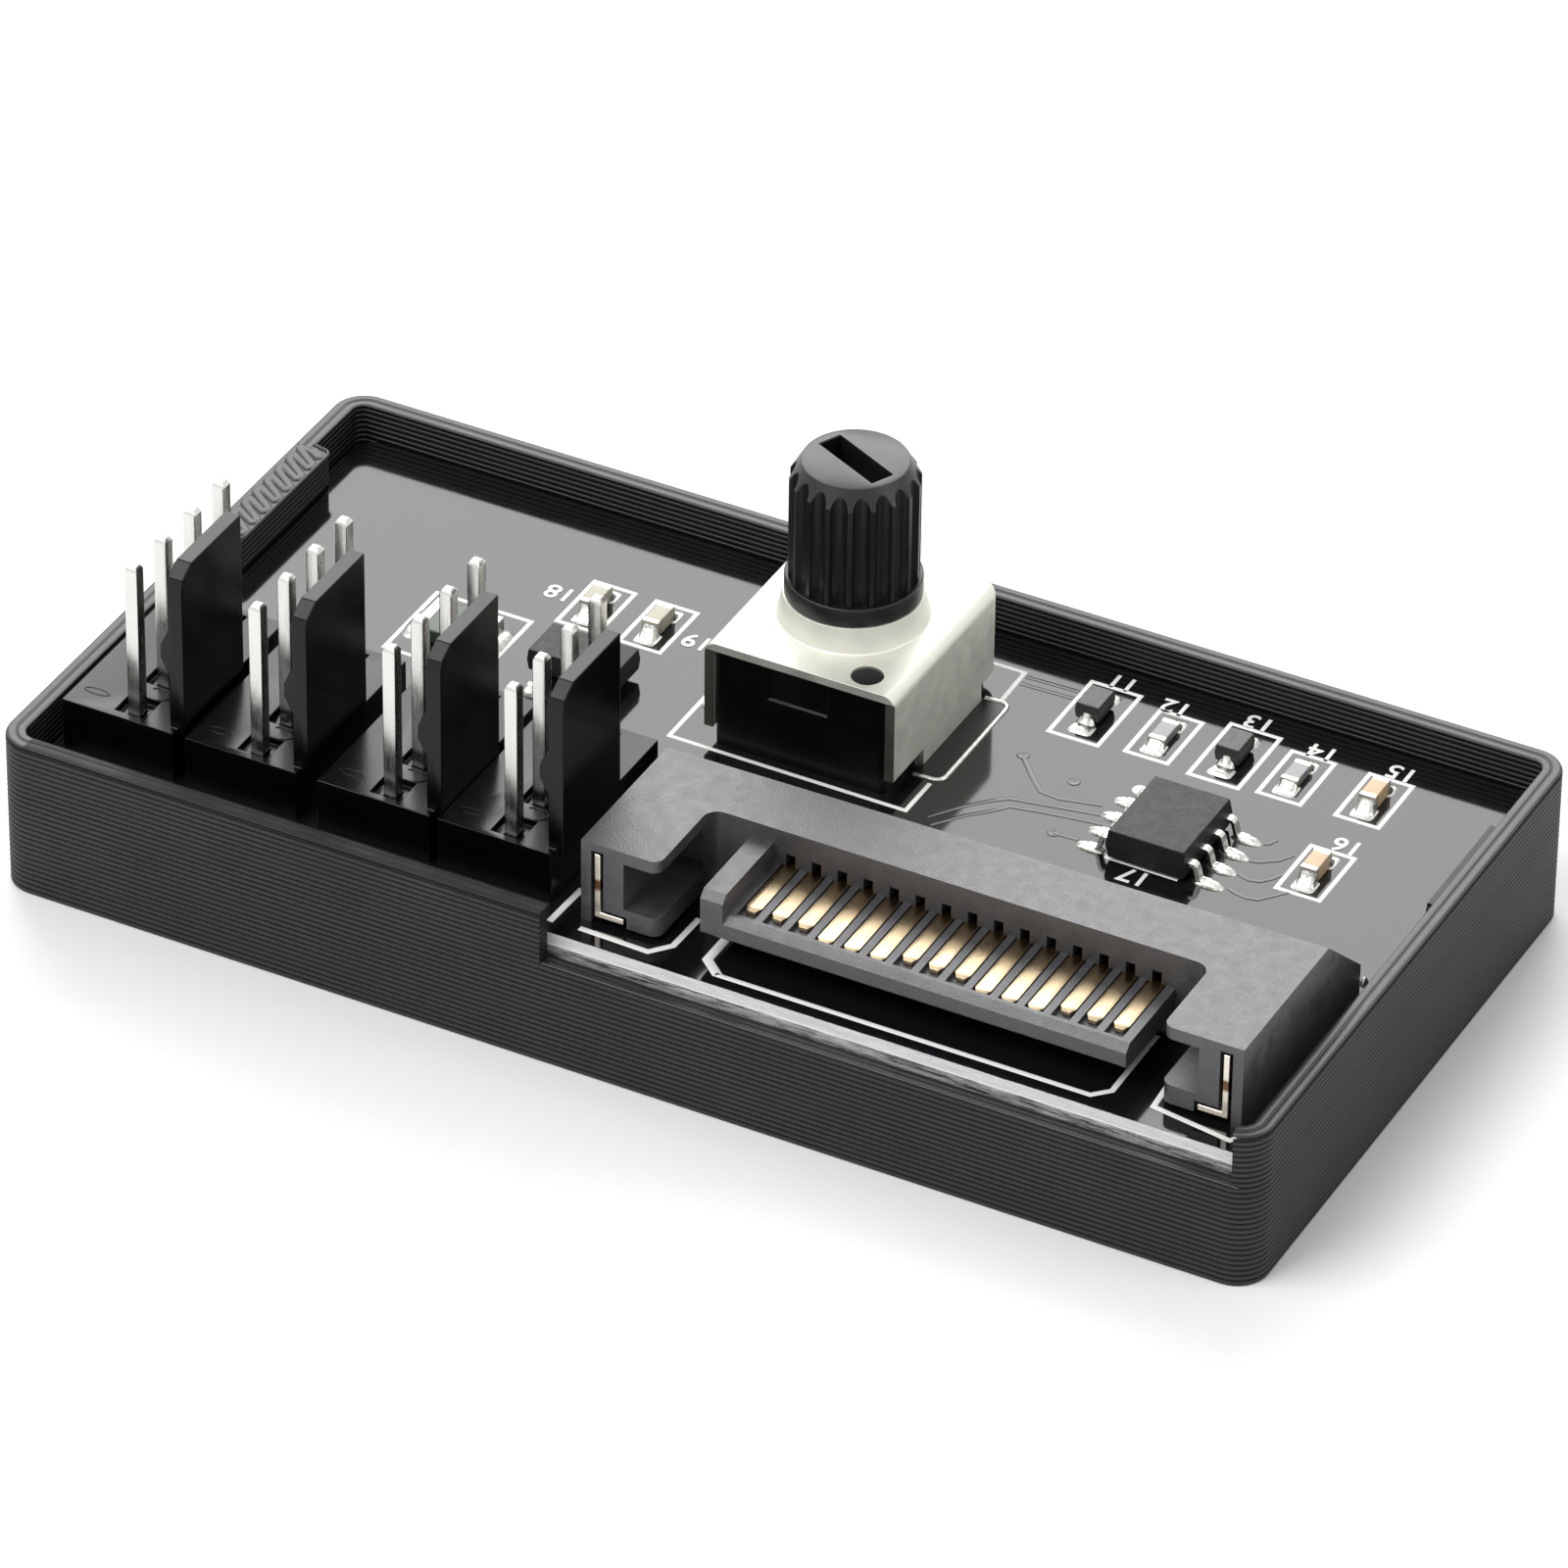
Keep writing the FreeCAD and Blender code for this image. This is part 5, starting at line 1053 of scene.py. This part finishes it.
class HUB_OT_dial(bpy.types.Operator):
    """Dress the dial: plated cover and collar, case, splined shaft and terminals"""

    bl_idname = "hub.dial"
    bl_label = "Speed dial"

    def execute(self, context):
        dressed("dial_cover", "plated_cover", FINISH["cover"], bevel=0.05, segments=3)
        dressed("dial_case", "dial_case_block", FINISH["case"], bevel=0.08)
        dressed("dial_terminals", "terminal_blades", FINISH["pin"], bevel=0.05)
        self.collar_foot()
        self.lug_pads()
        self.shaft()
        return {"FINISHED"}

    def lug_pads(self):
        """The bright rim of each lug's slot: a bead from the cover's side out, along and back, with a thin
        dark plate inside it for the slot's hole and painted shade round it."""
        low, high = span("dial_cover")
        middle = (low[0] + high[0]) / 2
        reach = (high[0] - low[0]) / 2
        turn = np.linspace(0, np.pi / 2, 7)
        front = np.column_stack((reach + 0.85 + 0.45 * np.sin(turn), 3.7 - 0.45 * np.cos(turn)))
        back = np.column_stack((reach + 0.85 + 0.45 * np.cos(turn), 9.6 + 0.45 * np.sin(turn)))
        path = np.vstack(((reach - 0.1, 3.2), front, back, (reach + 0.05, 10.0)))
        for side, name in ((-1, "left"), (1, "right")):
            edge = path.copy()
            edge[:, 0] = middle + side * edge[:, 0]
            rim = carry(hump(0.24, 0.09, 8), np.column_stack((edge, np.full(len(edge), TOP))))
            # A dark sheet in the case's finish fills the loop: partly the slot's hole, partly painted shade.
            slot = plate(edge, TOP + 0.004, TOP + 0.012, "z")
            piece(f"lug_pad_{name}", [rim, slot], [FINISH["solder"], FINISH["case"]],
                  sharp=70, picks=[0, 1])

    def collar_foot(self):
        """The small radius where the collar leaves the sheet: a quarter circle, turned."""
        low, high = span("dial_shaft")
        x, y = (low[:2] + high[:2]) / 2
        cover_top = TOP + COVER_HEIGHT
        angle = np.linspace(0, np.pi / 2, 9)
        profile = np.column_stack((3.43 + 0.12 * (1 - np.sin(angle)), cover_top + 0.12 * (1 - np.cos(angle))))
        profile[0, 1] -= 0.004
        closed = np.vstack((profile, (3.3, cover_top + 0.1), (3.3, cover_top - 0.1), (3.54, cover_top - 0.1)))
        shape = lathe(np.vstack((closed, closed[:1])), 128)
        piece("collar_foot", moved(shape, x, y), FINISH["cover"], sharp=60)

    def shaft(self):
        """The shaft as one surface of angle and height: the radius is the smaller of the turned
        profile and the grooves' 3.03 cos a - sqrt(0.41^2 - (3.03 sin a)^2), and the slot's
        rectangle min(a / |cos|, b / |sin|) closes the top."""
        low, high = span("dial_shaft")
        x, y = (low[:2] + high[:2]) / 2
        top = high[2] - 0.08
        turn = -25.7
        columns = 1080
        angle = np.linspace(0, 2 * np.pi, columns, endpoint=False)
        tooth = 2 * np.pi / 18
        phase = np.mod(angle + 0.024, tooth) - tooth / 2
        inside = 0.41 ** 2 - (3.03 * np.sin(phase)) ** 2
        groove = np.where(inside > 0, 3.03 * np.cos(phase) - np.sqrt(np.clip(inside, 0, None)), 9.0)
        spline_low, tip = high[2] - 6.08, top - 0.86
        rows = [(2.3, spline_low - 0.92, False), (3.08, spline_low - 0.92, False),
                (3.12, spline_low - 0.88, False), (3.12, spline_low - 0.09, False),
                (3.1, spline_low - 0.03, False), (3.05, spline_low, False), (2.96, spline_low, True)]
        rows += [(2.96, level, True) for level in np.linspace(spline_low + 0.02, tip - 0.05, 12)]
        rows += [(2.96 - (level - tip + 0.05) / 0.91 * 0.55, level, True)
                 for level in np.linspace(tip, top - 0.03, 22)]
        rows.append((2.36, top, True))
        points = []
        for radius, level, grooved in rows:
            reach = np.minimum(radius, groove) if grooved else np.full(columns, radius)
            points.append(np.stack((reach * np.cos(angle), reach * np.sin(angle),
                                    np.full(columns, level)), 1))
        slot = np.minimum(1.92 / np.maximum(np.abs(np.cos(angle)), 1e-9),
                          0.59 / np.maximum(np.abs(np.sin(angle)), 1e-9))
        for scale, level in ((1.03, top), (1.0, top - 0.04), (1.0, top - 1.28), (0.01, top - 1.28)):
            points.append(np.stack((slot * scale * np.cos(angle), slot * scale * np.sin(angle),
                                    np.full(columns, level)), 1))
        shape = turned(grid_shape(np.stack(points), wrap=True, ends=True), turn)
        item = piece("splined_shaft", moved(shape, x, y), FINISH["shaft"], body=DIAL, sharp=28)
        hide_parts("dial_shaft")


class HUB_OT_chips(bpy.types.Operator):
    """Dress the timer chip, the regulator and the diodes with their leads and solder"""

    bl_idname = "hub.chips"
    bl_label = "Chips"

    def execute(self, context):
        dressed("timer_chip", "timer_block", FINISH["chip"], bevel=0.05)
        dressed("regulator", "regulator_block", FINISH["chip"], bevel=0.05)
        dressed("regulator_leads", "regulator_blades", FINISH["pin"], bevel=0.05)
        for number in (1, 2):
            dressed(f"diode_{number}", f"diode_block_{number}", FINISH["diode"], bevel=0.05)
            dressed(f"diode_{number}_leads", f"diode_blades_{number}", FINISH["pin"], bevel=0.02)
        self.timer_leads()
        self.solder()
        return {"FINISHED"}

    def timer_leads(self):
        """Gull-wing leads: the side view of a strip with rounded bends, carried along Y."""
        low, high = span("timer_chip_leads")
        middle_x = (low[0] + high[0]) / 2
        chip_low, chip_high = span("timer_chip")
        level = (chip_low[2] + chip_high[2]) / 2
        half = (high[0] - low[0]) / 2
        root = (chip_high[0] - chip_low[0]) / 2 - 0.05
        thickness = 0.2
        shapes = []
        for side in (-1, 1):
            path = np.array(((root, level), (half - 0.72, level), (half - 0.52, low[2] + 0.1),
                             (half, low[2] + 0.1)))
            path[:, 0] = middle_x + side * path[:, 0]
            outline = thick_line(path, thickness, 0.16)
            for y in np.linspace(low[1] + 0.21, high[1] - 0.21, 4):
                shapes.append(plate(outline, y - 0.21, y + 0.21, "y"))
        item = piece("timer_leads", shapes, FINISH["pin"], bevel=0.03, sharp=40)
        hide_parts("timer_chip_leads")

    def solder(self):
        """Solder at each foot of the timer chip, the regulator and the diodes."""
        shapes = []
        low, high = span("timer_chip_leads")
        for y in np.linspace(low[1] + 0.21, high[1] - 0.21, 4):
            shapes.append(moved(blob(1.5, 0.62, 0.24), low[0] + 0.1, y, TOP))
            shapes.append(moved(blob(1.5, 0.62, 0.24), high[0] - 0.1, y, TOP))
        low, high = span("regulator_leads")
        for x in (low[0] + 0.21, (low[0] + high[0]) / 2, high[0] - 0.21):
            shapes.append(moved(blob(0.85, 1.25, 0.42), x, low[1] + 0.2, TOP))
        shapes.append(moved(blob(2.3, 0.9, 0.45), (low[0] + high[0]) / 2, high[1] + 0.05, TOP))
        for number in (1, 2):
            low, high = span(f"diode_{number}_leads")
            x = (low[0] + high[0]) / 2
            for y in (low[1] - 0.1, high[1] + 0.1):
                shapes.append(moved(blob(1.2, 0.85, 0.16, power=0.35), x, y, TOP))
            for width, reach, height in ((0.5, 0.5, 0.52), (0.85, 0.72, 0.3)):
                front = moved(fillet(width, reach, height), x, low[1] + 0.42, TOP)
                shapes.append((front[0] * (1, -1, 1) + (0, 2 * (low[1] + 0.42), 0), front[1]))
                shapes.append(moved(fillet(width, reach, height), x, high[1] - 0.42, TOP))
        shapes.append(moved(blob(0.35, 0.5, 0.28), 29.2, -1.35, TOP))
        piece("chip_solder", shapes, FINISH["solder"], sharp=70)


class HUB_OT_small_parts(bpy.types.Operator):
    """Dress the capacitors, resistors and fuse with their metal ends and solder"""

    bl_idname = "hub.small_parts"
    bl_label = "Capacitors, resistors and fuse"

    def execute(self, context):
        for number, finish in ((1, "olive"), (2, "olive"), (3, "tan"), (4, "tan")):
            self.two_ended(f"capacitor_{number}", finish, "ceramic", 0.3)
        for number in (1, 2):
            self.two_ended(f"resistor_{number}", "glaze", "resistor", 0.3)
        self.fuse()
        return {"FINISHED"}

    def two_ended(self, node, finish, slot, cap):
        """A soft-edged block with a slightly larger metal cap and a fillet at each end."""
        low, high = span(node)
        size, middle = high - low, (high + low) / 2
        block = moved(rounded(size * (0.95, 0.9, 0.96), 0.12), *middle)
        shapes, picks = [block], [0]
        for side, y in ((-1, low[1] + cap / 2), (1, high[1] - cap / 2)):
            shapes.append(moved(rounded((size[0], cap, size[2]), 0.16), middle[0], y, middle[2]))
            ramp = fillet(size[0] * 1.12, 0.62, size[2] * 0.8)
            ramp = (ramp[0] * (1, side, 1), ramp[1])
            edge = low[1] if side < 0 else high[1]
            shapes.append(moved(ramp, middle[0], edge - side * 0.05, TOP))
            shapes.append(moved(blob(size[0] * 1.3, 1.05, 0.10, power=0.4), middle[0], edge + side * 0.2,
                                TOP))
            picks += [2, 1, 1]
        item = piece(f"{node}_block", shapes, [FINISH[finish], FINISH["solder"], FINISH["cap"]],
                     sharp=60, picks=picks)
        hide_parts(node)

    def fuse(self):
        """A flat laminate block with metal ends along X."""
        low, high = span("fuse")
        size, middle = high - low, (high + low) / 2
        shapes = [moved(rounded(size * (0.9, 0.96, 0.94), 0.1), *middle)]
        picks = [0]
        for side, x in ((-1, low[0] + 0.25), (1, high[0] - 0.25)):
            shapes.append(moved(rounded((0.5, size[1], size[2]), 0.12), x, middle[1], middle[2]))
            edge = low[0] if side < 0 else high[0]
            shapes.append(moved(blob(1.1, size[1] * 1.05, 0.32), edge + side * 0.18, middle[1], TOP))
            picks += [1, 1]
        item = piece("fuse_block", shapes, [FINISH["laminate"], FINISH["solder"]],
                     sharp=60, picks=picks)
        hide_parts("fuse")


class HUB_OT_stage(bpy.types.Operator):
    """Set the pale floor, the soft lights and the camera at the photograph's angle"""

    bl_idname = "hub.stage"
    bl_label = "Floor, lights and camera"

    CAMERA = (0.17993, -0.34758, 0.28467)
    RIGHT = (0.88478167, 0.46589816, 0.01001503)
    DOWN = (0.27744495, -0.50938188, -0.81458849)
    AHEAD = (-0.3744138, 0.72351158, -0.57995284)
    FOCAL = 11019.28 / 1600 * 36

    def execute(self, context):
        self.floor()
        self.world(context.scene)
        self.light("back_softbox", (-0.29, 0.56, 0.46), 0.62, 0.50, 4.3)
        self.light("key_softbox", (-0.35, -0.45, 0.75), 0.6, 0.6, 5.5)
        self.light("right_fill", (0.75, 0.10, 0.55), 0.5, 0.5, 1.5)
        self.camera(context.scene)
        context.scene.view_settings.view_transform = "Standard"
        return {"FINISHED"}

    def floor(self):
        """A wide pale floor, which the camera and mirrors see white, with the hub's shadow."""
        reach = 3000.0
        points = np.array(((-reach, -reach, -0.02), (reach, -reach, -0.02), (reach, reach, -0.02),
                           (-reach, reach, -0.02)))
        mesh = bpy.data.meshes.new("floor")
        mesh.from_pydata((points * MM).tolist(), [], [(0, 1, 2, 3)])
        mesh.materials.append(mottled("floor_paper", (0.93, 0.93, 0.93), 0.85, cloud=0.01, cloud_size=90.0,
                                      grain_size=1.0, gloss_change=0.02, relief=0.000002))
        item = bpy.data.objects.new("floor", mesh)
        bpy.context.scene.collection.objects.link(item)

    def world(self, scene):
        """White for the camera, mirrors and glass, and a plain soft light for the rest."""
        world = bpy.data.worlds.new("studio")
        world.use_nodes = True
        tree = world.node_tree
        tree.nodes.clear()
        path = tree.nodes.new("ShaderNodeLightPath").outputs
        seen = math_node(tree, "MAXIMUM", path["Is Camera Ray"],
                         math_node(tree, "MAXIMUM", path["Is Glossy Ray"], path["Is Transmission Ray"]))
        strength = math_node(tree, "ADD", math_node(tree, "MULTIPLY", seen, 0.5), 0.5)
        sky = add_node(tree, "ShaderNodeBackground", {"Color": (1, 1, 1, 1), "Strength": strength})
        output = tree.nodes.new("ShaderNodeOutputWorld")
        tree.links.new(sky.outputs[0], output.inputs[0])
        scene.world = world

    def light(self, name, place, width, height, watts):
        """A soft rectangular lamp that faces the hub."""
        data = bpy.data.lights.new(name, "AREA")
        data.shape = "RECTANGLE"
        data.size = width
        data.size_y = height
        data.energy = watts
        item = bpy.data.objects.new(name, data)
        item.location = place
        item.rotation_euler = (Vector((0, 0, 0.01)) - Vector(place)).to_track_quat("-Z", "Y").to_euler()
        bpy.context.scene.collection.objects.link(item)

    def camera(self, scene):
        """The photograph's camera: its place, its three axes and its focal length."""
        data = bpy.data.cameras.new("photo_camera")
        data.lens = self.FOCAL
        data.sensor_width = 36
        data.clip_start = 0.01
        data.clip_end = 20
        item = bpy.data.objects.new("photo_camera", data)
        axes = Matrix((self.RIGHT, [-value for value in self.DOWN],
                       [-value for value in self.AHEAD])).transposed()
        item.matrix_world = Matrix.Translation(self.CAMERA) @ axes.to_4x4()
        scene.collection.objects.link(item)
        scene.camera = item


OPERATORS = (HUB_OT_finishes, HUB_OT_tray, HUB_OT_board, HUB_OT_print, HUB_OT_headers, HUB_OT_plug,
             HUB_OT_dial, HUB_OT_chips, HUB_OT_small_parts, HUB_OT_stage)


class HUB_PT_panel(bpy.types.Panel):
    """The hub's settings and its pieces, in the order that they are made"""

    bl_label = "Fan hub"
    bl_idname = "HUB_PT_panel"
    bl_space_type = "VIEW_3D"
    bl_region_type = "UI"
    bl_category = "Fan hub"

    def draw(self, context):
        for group, kind in ((context.scene.hub_colours, HubColours), (context.scene.hub_sizes, HubSizes)):
            for name in kind.__annotations__:
                self.layout.prop(group, name)
        for operator in OPERATORS:
            self.layout.operator(operator.bl_idname)


CLASSES = (HubColours, HubSizes, *OPERATORS, HUB_PT_panel)


def register():
    """Register the classes and put the settings on the scene."""
    for item in CLASSES:
        bpy.utils.register_class(item)
    bpy.types.Scene.hub_colours = bpy.props.PointerProperty(type=HubColours)
    bpy.types.Scene.hub_sizes = bpy.props.PointerProperty(type=HubSizes)


def unregister():
    """Take the settings and the classes away again."""
    del bpy.types.Scene.hub_colours
    del bpy.types.Scene.hub_sizes
    for item in reversed(CLASSES):
        bpy.utils.unregister_class(item)


def main():
    """Make every piece in order."""
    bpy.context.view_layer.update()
    register()
    for operator in OPERATORS:
        group, name = operator.bl_idname.split(".")
        getattr(getattr(bpy.ops, group), name)()


if __name__ == "__main__":
    main()
